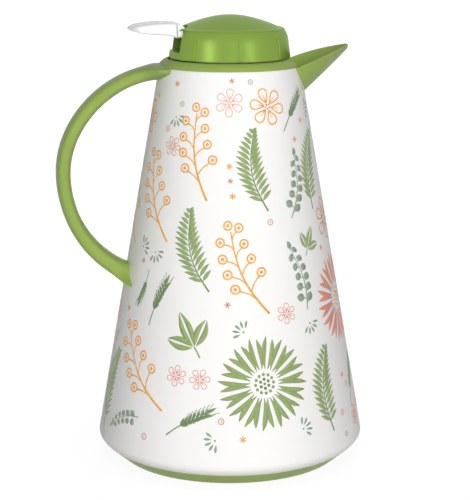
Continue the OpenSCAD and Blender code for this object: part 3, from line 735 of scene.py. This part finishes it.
def lid_body_shape():
    low, seam, r = mm.lid_z, mm.lid_z + mm.lid_h, mm.lid_r
    floor, deck, cup = low + 1.2, low + 3.7, low - 2.8
    edge, wall = low - mm.lid_hem, 1.6
    outline = [(r - 2, edge), (r - 0.4, edge), (r, edge + 0.4)] + lid_side(0)
    outline += lid_side(2.0)[:0:-1] + [
        (r - 2.5, deck), (6.3, deck), (6.3, cup), (CUP_HOLE_R, cup), (CUP_HOLE_R, cup - 2),
        (CUP_R, cup - 2), (CUP_R, cup - 5), (CUP_WALL_R, cup - 5), (CUP_WALL_R, floor),
        (r - 2, floor)]
    half = mm.notch_half
    bm = combined(spun(outline), block((FAR, -half, deck), (-26.6, half, CUT_HIGH)), "DIFFERENCE")
    # Walls on both sides of the notch close the lid's hollow
    walls = bmesh.new()
    for y in (half, -half - wall):
        added(walls, block((-r, y, deck - 0.1), (14 - r, y + wall, seam - 3.3)))
    within = spun([(0, low)] + lid_side(1.0) + [(0, seam)], closed=False)
    added(bm, combined(walls, within, "INTERSECT"))
    for i in range(RIBS):
        added(bm, lid_rib(i, edge, deck))
    # Posts that carry the lever's pin
    post = mm.lever_arm_half + 1.9
    for y in (-post, post):
        added(bm, block((19, y - 1.5, deck - 0.1), (25, y + 1.5, deck + 11.3), 0.3))
    return bm


def lid_cap_shape():
    seam = mm.lid_z + mm.lid_h
    top, wall = seam + mm.dome_h, 1.8
    edge = mm.lid_r - 3.9
    outline = curve2((0, top), (13.64, top), (31, seam + 1.3), 24) + [(33.4, seam + 0.75)]
    outline += curve2((33.8, seam + 0.66), (edge - 0.1, seam + 0.5), (edge, seam), 5)
    outline += [(32.2, seam), (32.2, seam - 3), (30.8, seam - 3), (30.8, seam - 0.5)]
    outline += curve2((0, top - wall), (12.4, top - wall), (28.4, seam - 0.5), 16)[::-1]
    half = mm.lever_arm_half + 0.8
    slot = block((FAR, -half, seam - 10), (-27.5, half, CUT_HIGH))
    return combined(spun(outline, closed=False), slot, "DIFFERENCE")


# ---- Lever and spring ----

def level(points, x):
    """Height of a line of (x, z) points at x; the points run towards -X."""
    for (x1, z1), (x2, z2) in zip(points, points[1:]):
        if x2 <= x <= x1:
            return z1 + (z2 - z1) * (x1 - x) / max(x1 - x2, TINY)
    return points[-1][1] if x < points[-1][0] else points[0][1]


def lever_shape():
    """An arm in the lid that steps out to a rounded paddle; heights are above its pivot."""
    pivot_x, pivot_z = mm.pivot_x, mm.pivot_z
    reach, half = mm.lever_reach, mm.lever_half
    top = [(pivot_x, 3.2), (18, 3.9), (-26, 3.9), (-28.6, 5.4)]
    top += curve2((-31, 8), (-33, 9.6), (-39, 9.7), 8)
    top += curve2((-45, 9.7), (-reach + 6, 9), (-reach + 0.8, 7), 8) + [(-reach, 6)]
    low = [(pivot_x, 0.2), (-35, 0.2)]
    low += curve2((-40, 2.4), (-reach + 12, 3), (-reach + 6, 4), 8)
    low += [(-reach + 1.4, 5.2), (-reach, 6)]
    arm, shoulder, tip_r = mm.lever_arm_half, mm.lid_r - 4.2, 19
    stops = [19.9, 19.4, 12, 4, -4, -12, -20, -24, -26, -27.4, -28.6, -29.2, -30, -31, -33]
    stops += [-shoulder - 0.15 * i * i for i in range(5)]
    stops += [-38, -41, -44, -48, -52, -55, -57.5, -59.5, -61, -62.3, -63.4, -64.2, -64.8, -65.1]
    rings = []
    for x in stops:
        high, under = level(top, x), level(low, x)
        opened = eased(-shoulder - x, 2.4)
        wide = arm + (half - arm) * sqrt(1 - (1 - opened) ** 2)
        wide = min(wide, sqrt(max(0.3, tip_r ** 2 - min(0.0, x + reach - tip_r) ** 2)))
        tall = max(high - under, 0.5)
        corner = min(1.5, tall * 0.42, wide * 0.42)
        middle = (high + under) / 2
        ring = []
        for sy, sz, start in ((1, 1, 0), (-1, 1, 90), (-1, -1, 180), (1, -1, 270)):
            for j in range(6):
                a = radians(start + 90 * j / 5)
                ring.append((x, sy * (wide - corner) + corner * cos(a),
                             middle + sz * (tall / 2 - corner) + corner * sin(a) + pivot_z))
        rings.append(ring)
    bm = swept(rings)
    # A hub round the pin, and a nub that presses on the valve's stem
    hub = spun([(1.6, -arm), (3.5, -arm), (3.5, arm), (1.6, arm)], 32)
    nub = spun([(0, -5), (1.6, -5), (2, -4.6), (2, 4.6), (1.6, 5), (0, 5)], 32, closed=False)
    for shape, place in ((hub, (pivot_x, 0, pivot_z)), (nub, (0, 0, pivot_z + 1))):
        turned(shape, 90, "X")
        moved(shape, place)
        added(bm, shape)
    return bm


def spring_shape():
    """A wire coil in the room of the frame's spring, with a closed turn at each end."""
    low, high = (Vector(corner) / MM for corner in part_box("return_spring"))
    wire, turns, steps = mm.spring_wire_r, 5, 28
    coil, first, last = high.x - wire, low.z + wire, high.z - wire
    dead = 2.3 * wire
    rings = []
    for i in range(turns * steps + 1):
        n = i / steps
        z = first + dead * n
        if n > turns - 1:
            z = last - dead * (turns - n)
        elif n > 1:
            z = first + dead + (last - first - 2 * dead) * (n - 1) / (turns - 2)
        a = tau * n
        rings.append([(r * cos(a), r * sin(a), height)
                      for r, height in ring_of(10, wire, coil, z)])
    return swept(rings)


# ---- Print: flat motifs in millimetres, angles in degrees ----

class Artwork:
    """A flat motif, one small mesh for each ink."""

    def __init__(self):
        self.inks = defaultdict(bmesh.new)

    def ribbon(self, ink, spine, half_width):
        """A stroke, petal or leaf along a row of points; half_width(t) is its half width."""
        count = len(spine) - 1
        rows = []
        for i, (x, y) in enumerate(spine):
            back, on = spine[max(0, i - 1)], spine[min(count, i + 1)]
            dx, dy = on[0] - back[0], on[1] - back[1]
            span = hypot(dx, dy) or 1.0
            w = half_width(i / count)
            nx, ny = -dy / span * w, dx / span * w
            rows.append([(x + nx, y + ny, 0), (x, y, 0), (x - nx, y - ny, 0)])
        added(self.inks[ink], swept(rows, closed=False))

    def line(self, ink, spine, half_width, taper=0.0):
        """A stroke that loses taper of its half width towards its end."""
        self.ribbon(ink, spine, lambda t: half_width - taper * t)

    def dots(self, ink, centres, radius):
        for x, y in centres:
            disc = bmesh.new()
            ops.create_circle(disc, cap_ends=True, radius=radius, segments=14)
            moved(disc, (x, y, 0))
            added(self.inks[ink], disc)

    def loop(self, ink, points, half_width):
        """A drawn closed line."""
        self.line(ink, points + points[:1], half_width)

    def meshes(self):
        for bm in self.inks.values():
            ops.remove_doubles(bm, verts=bm.verts, dist=0.001)
            ops.recalc_face_normals(bm, faces=bm.faces)
        return {ink: mesh_of(bm, "motif") for ink, bm in self.inks.items()}


def ray(angle, r0, r1, n=5, bend=0.0, foot=(0, 0)):
    """A row of points outwards from a foot at an angle, bowed by bend."""
    a = radians(angle)
    rows = []
    for t in shares(n):
        r, side = r0 + (r1 - r0) * t, bend * sin(pi * t)
        rows.append((foot[0] + (r * cos(a) - side * sin(a)),
                     foot[1] + (r * sin(a) + side * cos(a))))
    return rows


def petal(width):
    """Half width of a petal that is fullest beyond its middle."""
    return lambda t: max(0.12, width * sin(pi * min(1.0, t * 0.96 + 0.02)) ** 0.75
                         * (0.55 + 0.6 * t))


def leaf(width):
    """Half width of a leaf that is fullest before its middle."""
    return lambda t: max(0.1, width * sin(pi * t) ** 0.8 * (1.15 - 0.4 * t))


def round_leaf(t):
    """Half width of a round leaf on a stalk."""
    stalk, start = 0.25, 0.2
    if t <= start:
        return stalk
    return max(stalk, 2.6 * sin(pi * (t - start) / 0.8) ** 0.6)


def branch(x0, y0, x1, y1, bow, n=10):
    """A bowed line between two points."""
    dx, dy = x1 - x0, y1 - y0
    return [(x0 + dx * t - dy * bow * sin(pi * t), y0 + dy * t + dx * bow * sin(pi * t))
            for t in shares(n)]


def sunny_daisy(art, petals, middle, seeds):
    """A wide open daisy with split petals round a ring of seeds."""
    for i in range(16):
        a = 22.5 * i
        art.ribbon(petals, ray(a - 4.6, 6.6, 20.5, 5, -0.9), petal(1.35))
        art.ribbon(petals, ray(a + 4.6, 6.6, 21.5, 5, 0.9), petal(1.35))
    art.dots(seeds, ring_of(12, 4.3), 0.75)
    art.dots(middle, ring_of(6, 2.1), 0.75)
    art.dots(seeds, [(0, 0)], 0.7)


def fern(art, ink, stem_ink):
    """A bowed frond with paired narrow leaflets."""
    steps = 16
    spine = branch(0, -25, 3, 24, 0.12, steps)
    art.line(stem_ink, spine, 0.5, 0.3)
    for i in range(2, steps):
        t = i / steps
        reach = 11.5 * sin(pi * (0.16 + 0.78 * t)) ** 0.9
        for side in (-1, 1):
            a = 90 - side * (58 - 22 * t) + 10 * (0.5 - t)
            art.ribbon(ink, ray(a, 0.6, reach, 4, 0.5 * side, spine[i]), leaf(1.25))


def round_sprig(art, ink):
    """A stem with round leaves on short stalks."""
    spine = branch(-2, -21, 4, 19, -0.1, 12)
    art.line(ink, spine, 0.42, 0.2)
    for i in range(1, 12):
        side = 1 if i % 2 else -1
        art.ribbon(ink, ray(90 - side * 52, 0.5, 8.8 - 0.35 * i, foot=spine[i]), round_leaf)
    x, y = spine[-1]
    art.ribbon(ink, [(x + 0.2, y), (x + 0.6, y + 2), (x + 0.7, y + 4), (x + 0.4, y + 6)],
               leaf(1.9))


def berry_branch(art, ink):
    """A zigzag twig with ringed berries at its ends."""
    spine = branch(2, -24, -3, 20, 0.08)
    art.line(ink, spine, 0.55, 0.25)
    tips = [(spine[-1][0] - 0.5, spine[-1][1] + 3.2)]
    for i in range(2, 10):
        side = 1 if i % 2 else -1
        row = ray(90 - side * 46, 0, 10.5 - 0.6 * i, 4, 0.8 * side, spine[i])
        art.line(ink, row, 0.32)
        tips.append((row[-1][0] + side * 1.5, row[-1][1] + 1.5))
    for x, y in tips:
        art.loop(ink, ring_of(12, 2.1, x, y), 0.42)
        art.dots(ink, [(x, y)], 0.85)


def star_blossom(art, ink, heart_ink):
    """A small flower of six drawn petals with a dotted middle."""
    for i in range(6):
        a = radians(60 * i)
        row = []
        for t in shares(10):
            r, w = 2.0 + 7.6 * sin(pi * t), 2.5 * sin(tau * t)
            row.append((r * cos(a) - w * sin(a), r * sin(a) + w * cos(a)))
        art.line(ink, row, 0.36)
        art.line(ink, ray(60 * i, 2.8, 6.4, 3), 0.26, 0.1)
    art.dots(heart_ink, ring_of(5, 1.15), 0.5)


def wheat_ear(art, ink):
    """An ear of grain with short beards."""
    spine = branch(0, -18, 2, 8, 0.06)
    art.line(ink, spine, 0.35)
    for foot in spine[4:]:
        for side in (-1, 1):
            art.ribbon(ink, ray(90 - side * 30, 0.4, 5.2, 4, 0.3 * side, foot), leaf(0.95))
            art.line(ink, ray(90 - side * 20, 5.0, 9.4, 2, foot=foot), 0.2)
    art.ribbon(ink, ray(84, 8, 17, 4), leaf(1.0))


def leaf_trio(art, ink):
    """Three broad leaves from one point, each split along its midrib."""
    steps, drop = 6, 6
    for a, reach in ((90, 17), (40, 13.5), (140, 13.5)):
        across = radians(a + 90)
        for side in (-1, 1):
            row = []
            for i, (x, y) in enumerate(ray(a, 1.0, reach, steps)):
                off = side * (0.3 + 1.5 * sin(pi * i / steps))
                row.append((x + off * cos(across), y - drop + off * sin(across)))
            art.ribbon(ink, row, leaf(1.35))
    art.line(ink, [(0, -5.4), (0.3, -8), (0.2, -11)], 0.35)


def seed_drops(art, ink):
    """Loose drops in a fan."""
    for i in range(5):
        art.ribbon(ink, ray(30 + 30 * i, 3.2, 8.2, 4), petal(0.95))
    art.dots(ink, [(0, 1.0)], 0.7)


def ring_mark(art, ink):
    """A dot in a ring."""
    art.loop(ink, ring_of(14, 2.0), 0.33)
    art.dots(ink, [(0, 0)], 0.6)


def cross_mark(art, ink):
    """Three crossed strokes."""
    for a in (20, 80, 140):
        art.line(ink, ray(a, -2, 2, 2), 0.34)


def on_cone(x, y, spot, turn, scale, lift):
    """Lays a flat point on the shell: spot is (angle in degrees, height)."""
    lean_cos, lean_sin = 0.985, 0.17
    c, s = cos(radians(turn)) * scale, sin(radians(turn)) * scale
    u, v = x * c - y * s, x * s + y * c
    z = spot[1] + v * lean_cos
    r = cone_r(z)
    a = radians(spot[0]) + u / cone_r(spot[1])
    return Vector(((r + lift) * cos(a), (r + lift) * sin(a), z + lift * lean_sin))


# Each motif's drawing, its inks and the discs along its axis that hold it: (height, radius)
BLOSSOM_ROOM, MARK_ROOM = ((0, 9.8),), ((0, 2.4),)
MOTIFS = {
    "daisy_coral": (sunny_daisy, ("coral_ink", "amber_ink", "rose_ink"), ((0, 21.8),)),
    "daisy_leaf": (sunny_daisy, ("leaf_ink", "deep_ink", "leaf_ink"), ((0, 21.8),)),
    "fern": (fern, ("leaf_ink", "deep_ink"),
             ((-21, 4), (-12, 9), (-2, 11.5), (8, 11), (17, 8), (24, 4))),
    "berries": (berry_branch, ("amber_ink",),
                ((-23, 3), (-16, 9), (-9, 11), (0, 11), (9, 10.5), (16, 8), (22, 5))),
    "sprig": (round_sprig, ("slate_ink",),
              ((-19, 5), (-10, 8.5), (0, 9), (10, 8), (19, 6), (24, 3))),
    "trio": (leaf_trio, ("leaf_ink",), ((-12, 3), (-3, 9), (4, 12), (9, 4))),
    "wheat": (wheat_ear, ("deep_ink",), ((-15, 2), (-6, 4), (3, 8), (11, 7), (16, 3))),
    "drops": (seed_drops, ("slate_ink",), ((2, 5), (4, 6.5))),
    "blossom_amber": (star_blossom, ("amber_ink", "coral_ink"), BLOSSOM_ROOM),
    "blossom_coral": (star_blossom, ("coral_ink", "amber_ink"), BLOSSOM_ROOM),
    "blossom_rose": (star_blossom, ("rose_ink", "coral_ink"), BLOSSOM_ROOM),
    "ring_slate": (ring_mark, ("slate_ink",), ((0, 2.5),)),
    "ring_coral": (ring_mark, ("coral_ink",), ((0, 2.5),)),
    "cross_coral": (cross_mark, ("coral_ink",), MARK_ROOM),
    "cross_amber": (cross_mark, ("amber_ink",), MARK_ROOM),
}
# Names in the order in which they are laid, with their scale, lean and number of trials
LAYERS = (
    ("berries", 1.35, 35, 90), ("fern", 1.15, 50, 120), ("trio", 1.45, 50, 90),
    ("blossom_coral", 1.5, 90, 60), ("sprig", 1.05, 60, 160), ("blossom_amber", 1.35, 90, 100),
    ("wheat", 1.1, 70, 120), ("trio", 0.95, 180, 120), ("sprig", 0.75, 180, 200),
    ("blossom_rose", 1.0, 90, 200), ("wheat", 0.8, 180, 160), ("drops", 1.0, 180, 240),
    ("blossom_coral", 0.7, 90, 240), ("cross_amber", 1.1, 90, 60), ("ring_coral", 0.9, 90, 60),
    ("cross_coral", 1.0, 90, 60), ("ring_slate", 0.8, 90, 40),
)
LAYOUT_SEED = 35
DAISIES, DAISY_SCALE, DAISY_HEIGHTS = 6, 1.36, (158, 66, 108)
MARGIN = 1.0  # Least room between two motifs


def on_fitting(spot, radius):
    """Whether a disc on the shell reaches an edge, the spout's root or an end of the handle."""
    low_edge, spout_z, handle_top, handle_foot = 20, 236, 241, 123
    spout_half, handle_half, foot_half = 26, 22, 12
    x, y, z = spot
    aside = max(0.0, abs(y) - radius)
    if z - radius < low_edge or z + radius > mm.body_h - 3:
        return True
    if x > 0:
        return aside < spout_half and z + radius > spout_z + 0.03 * aside * aside
    return aside < handle_half and (z + radius > handle_top
                                    or abs(z - handle_foot) < foot_half + radius)


def print_layout():
    """Every motif's place: large daisies round the shell, then what still fits between them."""
    chance = Random(LAYOUT_SEED)
    taken, out = [], []

    def place(name, angle, z, turn, scale):
        discs = [(on_cone(0, height, (angle, z), turn, scale, 0), radius * scale)
                 for height, radius in MOTIFS[name][2]]
        for spot, radius in discs:
            if on_fitting(spot, radius):
                return
            if any((spot - other).length < radius + reach + MARGIN for other, reach in taken):
                return
        taken.extend(discs)
        out.append((name, (angle, z), turn, scale))

    for i in range(DAISIES):
        place("daisy_coral" if i % 2 else "daisy_leaf", 360 / DAISIES * i + 36,
              DAISY_HEIGHTS[i % 3], 9 * i, DAISY_SCALE)
    for name, scale, lean, trials in LAYERS:
        for _ in range(trials):
            z = 22 + 228 * chance.random() ** 1.15
            # Motifs shrink a little towards the top
            place(name, chance.uniform(0, 360), z, chance.uniform(-lean, lean),
                  scale * (0.75 + 0.25 * cone_r(z) / 87))
    return out


def print_shapes():
    """One mesh of all the motifs' strokes for each ink."""
    motifs = {}
    for name, (maker, inks, _) in MOTIFS.items():
        art = Artwork()
        maker(art, *inks)
        motifs[name] = art.meshes()
    sheets = defaultdict(bmesh.new)
    for name, spot, turn, scale in print_layout():
        for ink, mesh in motifs[name].items():
            bm = sheets[ink]
            known = len(bm.verts)
            bm.from_mesh(mesh)
            bm.verts.ensure_lookup_table()
            for vert in bm.verts[known:]:
                vert.co = on_cone(vert.co.x, vert.co.y, spot, turn, scale, mm.ink_lift)
    for meshes in motifs.values():
        for mesh in meshes.values():
            bpy.data.meshes.remove(mesh)
    return sheets


# ---- Stage, in metres, degrees and watts ----

CAMERA_LENS, CAMERA_AWAY, CAMERA_UP = 121.4, 1.0754, 0.3648
CAMERA_TURN, CAMERA_HEADING, CAMERA_DIP = 10.0, 10.179, 12.09
WORLD_SOFT = 0.1  # Strength of the white world on matt surfaces; the backdrop itself is full white
FLOOR_R = 9.0
LAMP_AIM = Vector((0, 0, 0.15))
# Name, place, width and height, and power. Softboxes light the front and the back from afar,
# and two upright strips draw the bands on the lid
LAMPS = (
    ("Front softbox", (-0.25, -2.6, 0.5), (0.7, 1.4), 73.0),
    ("Left strip", (-1.06, -0.92, 0.36), (0.18, 0.8), 3.0),
    ("Right strip", (0.68, -1.22, 0.36), (0.18, 0.8), 1.7),
    ("Top softbox", (0.1, -0.1, 1.7), (0.9, 0.9), 4.0),
    ("Back softbox", (0.5, 2.55, 0.5), (0.5, 1.2), 45.0),
)


def aimed(thing, way):
    """Points a camera or lamp along a direction."""
    thing.rotation_mode = "QUATERNION"
    thing.rotation_quaternion = way.to_track_quat("-Z", "Y")


def seen_rays(tree):
    """1 where the camera, a mirror or glass looks at the backdrop."""
    path = add_node(tree, "LightPath").outputs
    one = maths(tree, "MAXIMUM", path["Is Camera Ray"], path["Is Glossy Ray"])
    return maths(tree, "MAXIMUM", one, path["Is Transmission Ray"])


def mixed(tree, amount, first, second, output):
    """Ends a tree with a mix of two shaders."""
    both = add_node(tree, "MixShader", {"Fac": amount, 1: first.outputs[0],
                                        2: second.outputs[0]})
    add_node(tree, output, {"Surface": both.outputs[0]})


def floor_paper():
    """Matt white paper that keeps a faint shadow and reads as white elsewhere."""
    material, tree, place = blank("Paper, matt white")
    away = add_node(tree, "VectorMath", {0: place}, operation="LENGTH").outputs["Value"]
    white = mapped(tree, away, 0.1, 0.5, 0.8, 1.0)
    amount = maths(tree, "MULTIPLY", seen_rays(tree), white)
    grain = noise(tree, place, 0.0025, 3.0)
    # Only the camera sees the paper's full white, so that it throws little light back up
    held = add_node(tree, "Mix", {
        "Factor": add_node(tree, "LightPath").outputs["Is Camera Ray"], 6: srgb("#c8c8c8"),
        7: ramp(tree, grain, srgb("#f4f4f4"), srgb("#fafafa"))}, data_type="RGBA")
    paper = add_node(tree, "BsdfDiffuse", {"Color": held.outputs[2]})
    glow = add_node(tree, "Emission", {"Color": WHITE, "Strength": 1.12})
    mixed(tree, amount, paper, glow, "OutputMaterial")
    return material


# ---- Operators ----

class JUG_OT_stage(Operator):
    """Makes the floor, the lamps, the world and the camera"""
    bl_idname = "jug.stage"
    bl_label = "Stage"

    def execute(self, context):
        scene = context.scene
        scene.view_settings.view_transform = "Standard"
        camera = placed("Camera", bpy.data.cameras.new("Camera"))
        camera.data.lens = CAMERA_LENS
        camera.data.clip_start, camera.data.clip_end = 0.05, 40.0
        turn, heading = radians(CAMERA_TURN), radians(CAMERA_HEADING)
        camera.location = (-CAMERA_AWAY * sin(turn), -CAMERA_AWAY * cos(turn), CAMERA_UP)
        dip = radians(CAMERA_DIP)
        aimed(camera, Vector((sin(heading) * cos(dip), cos(heading) * cos(dip), -sin(dip))))
        scene.camera = camera

        world = bpy.data.worlds.new("Studio")
        scene.world = world
        world.use_nodes = True
        tree = world.node_tree
        tree.nodes.clear()
        soft, plain = (add_node(tree, "Background", {"Color": WHITE, "Strength": strength})
                       for strength in (WORLD_SOFT, 1.0))
        mixed(tree, seen_rays(tree), soft, plain, "OutputWorld")

        bm = bmesh.new()
        ops.create_circle(bm, cap_ends=True, radius=FLOOR_R, segments=96)
        floor = placed("Floor", mesh_of(bm, "Floor"))
        floor.data.materials.append(floor_paper())

        for name, place, spread, power in LAMPS:
            lamp = bpy.data.lights.new(name, "AREA")
            lamp.shape, lamp.energy = "RECTANGLE", power
            lamp.size, lamp.size_y = spread
            holder = placed(name, lamp)
            holder.location = place
            aimed(holder, LAMP_AIM - Vector(place))
            # The strips are seen only in reflections, and the softboxes never
            holder.visible_glossy = "strip" in name
            holder.visible_diffuse = "strip" not in name
        return {"FINISHED"}


# Name, shape, finish, body, slot, the node that it stands for, and crease angle
PIECES = (
    ("Outer_body", shell_shape, "shell", "jug", "shell_white", "outer_shell", CREASE),
    ("Base_cap", base_cap_shape, "green", "jug", "green_plastic", "base_cap", CREASE),
    ("Collar", collar_shape, "green", "jug", "green_plastic", "collar", CREASE),
    ("Handle", handle_shape, "green", "jug", "green_plastic", "handle", 48.0),
    ("Lid_body", lid_body_shape, "lid", "stopper", "lid_green", "lid_body", CREASE),
    ("Lid_cap", lid_cap_shape, "lid", "stopper", "lid_green", "lid_cap", CREASE),
    ("Lever", lever_shape, "lever", "lever", "lever_white", "lever", 50.0),
)


class JUG_OT_pieces(Operator):
    """Makes the shell, base cap, collar, handle, lid and lever"""
    bl_idname = "jug.pieces"
    bl_label = "Moulded pieces"

    def execute(self, context):
        for name, shape, finish, body, slot, node, crease in PIECES:
            finished(shape(), name, material_for(finish), body, (node,), crease)
        return {"FINISHED"}


class JUG_OT_print(Operator):
    """Makes the print on the shell"""
    bl_idname = "jug.print"
    bl_label = "Print"

    def execute(self, context):
        for ink, bm in print_shapes().items():
            name = ink.replace("_", " ").capitalize()
            material = printed_ink(name + ", screen printed", colour(ink))
            piece = finished(bm, "Print_" + ink, material, "jug", (), 60.0)
            coat = piece.modifiers.new("Coat", "SOLIDIFY")
            coat.thickness, coat.offset = 0.00004, 1.0
        return {"FINISHED"}


# The nodes of the frame that stay as they are, by their finish
INNER_FINISHES = {
    "rubber": ("base_cushion", "neck_seal", "stopper_gasket", "stem_seal", "valve_seal"),
    "glass": ("liner_outer", "liner_inner"),
    "natural": ("liner_pads", "stopper_plug", "valve_plunger", "spring_cap"),
    "steel": ("handle_screws", "plug_screws", "lever_pin"),
}


class JUG_OT_inner_parts(Operator):
    """Makes the spring and gives the frame's other inner parts their finishes"""
    bl_idname = "jug.inner_parts"
    bl_label = "Inner parts"

    def execute(self, context):
        for finish, nodes in INNER_FINISHES.items():
            for node in nodes:
                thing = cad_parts[node]
                if not thing.material_slots:
                    raise RuntimeError(f"{node} has no material slot")
                for place in thing.material_slots:
                    place.material = material_for(finish)
        spring = finished(spring_shape(), "Return_spring_coil", material_for("steel"), "valve",
                          ("return_spring",), 60.0)
        low, high = (corner[2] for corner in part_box("return_spring"))
        1 - mm.valve_travel * MM / (high - low)
        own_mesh(spring)
        return {"FINISHED"}


OPERATORS = (JUG_OT_stage, JUG_OT_pieces, JUG_OT_print, JUG_OT_inner_parts)


class JUG_PT_panel(Panel):
    """Lists the jug's pieces, sizes and colours"""
    bl_idname = "JUG_PT_panel"
    bl_label = "Vacuum jug"
    bl_space_type = "VIEW_3D"
    bl_region_type = "UI"
    bl_category = "Jug"

    def draw(self, context):
        for operator in OPERATORS:
            self.layout.operator(operator.bl_idname)
        for group in (context.scene.jug_sizes, context.scene.jug_colours):
            column = self.layout.column(align=True)
            for name in group.__annotations__:
                column.prop(group, name)


CLASSES = (JugSizes, JugColours) + OPERATORS + (JUG_PT_panel,)


def register():
    for cls in CLASSES:
        bpy.utils.register_class(cls)
    bpy.types.Scene.jug_sizes = PointerProperty(type=JugSizes)
    bpy.types.Scene.jug_colours = PointerProperty(type=JugColours)


def unregister():
    del bpy.types.Scene.jug_colours
    del bpy.types.Scene.jug_sizes
    for cls in reversed(CLASSES):
        bpy.utils.unregister_class(cls)


def main():
    register()
    bpy.ops.jug.stage()
    bpy.ops.jug.pieces()
    bpy.ops.jug.print()
    bpy.ops.jug.inner_parts()


if __name__ == "__main__":
    main()
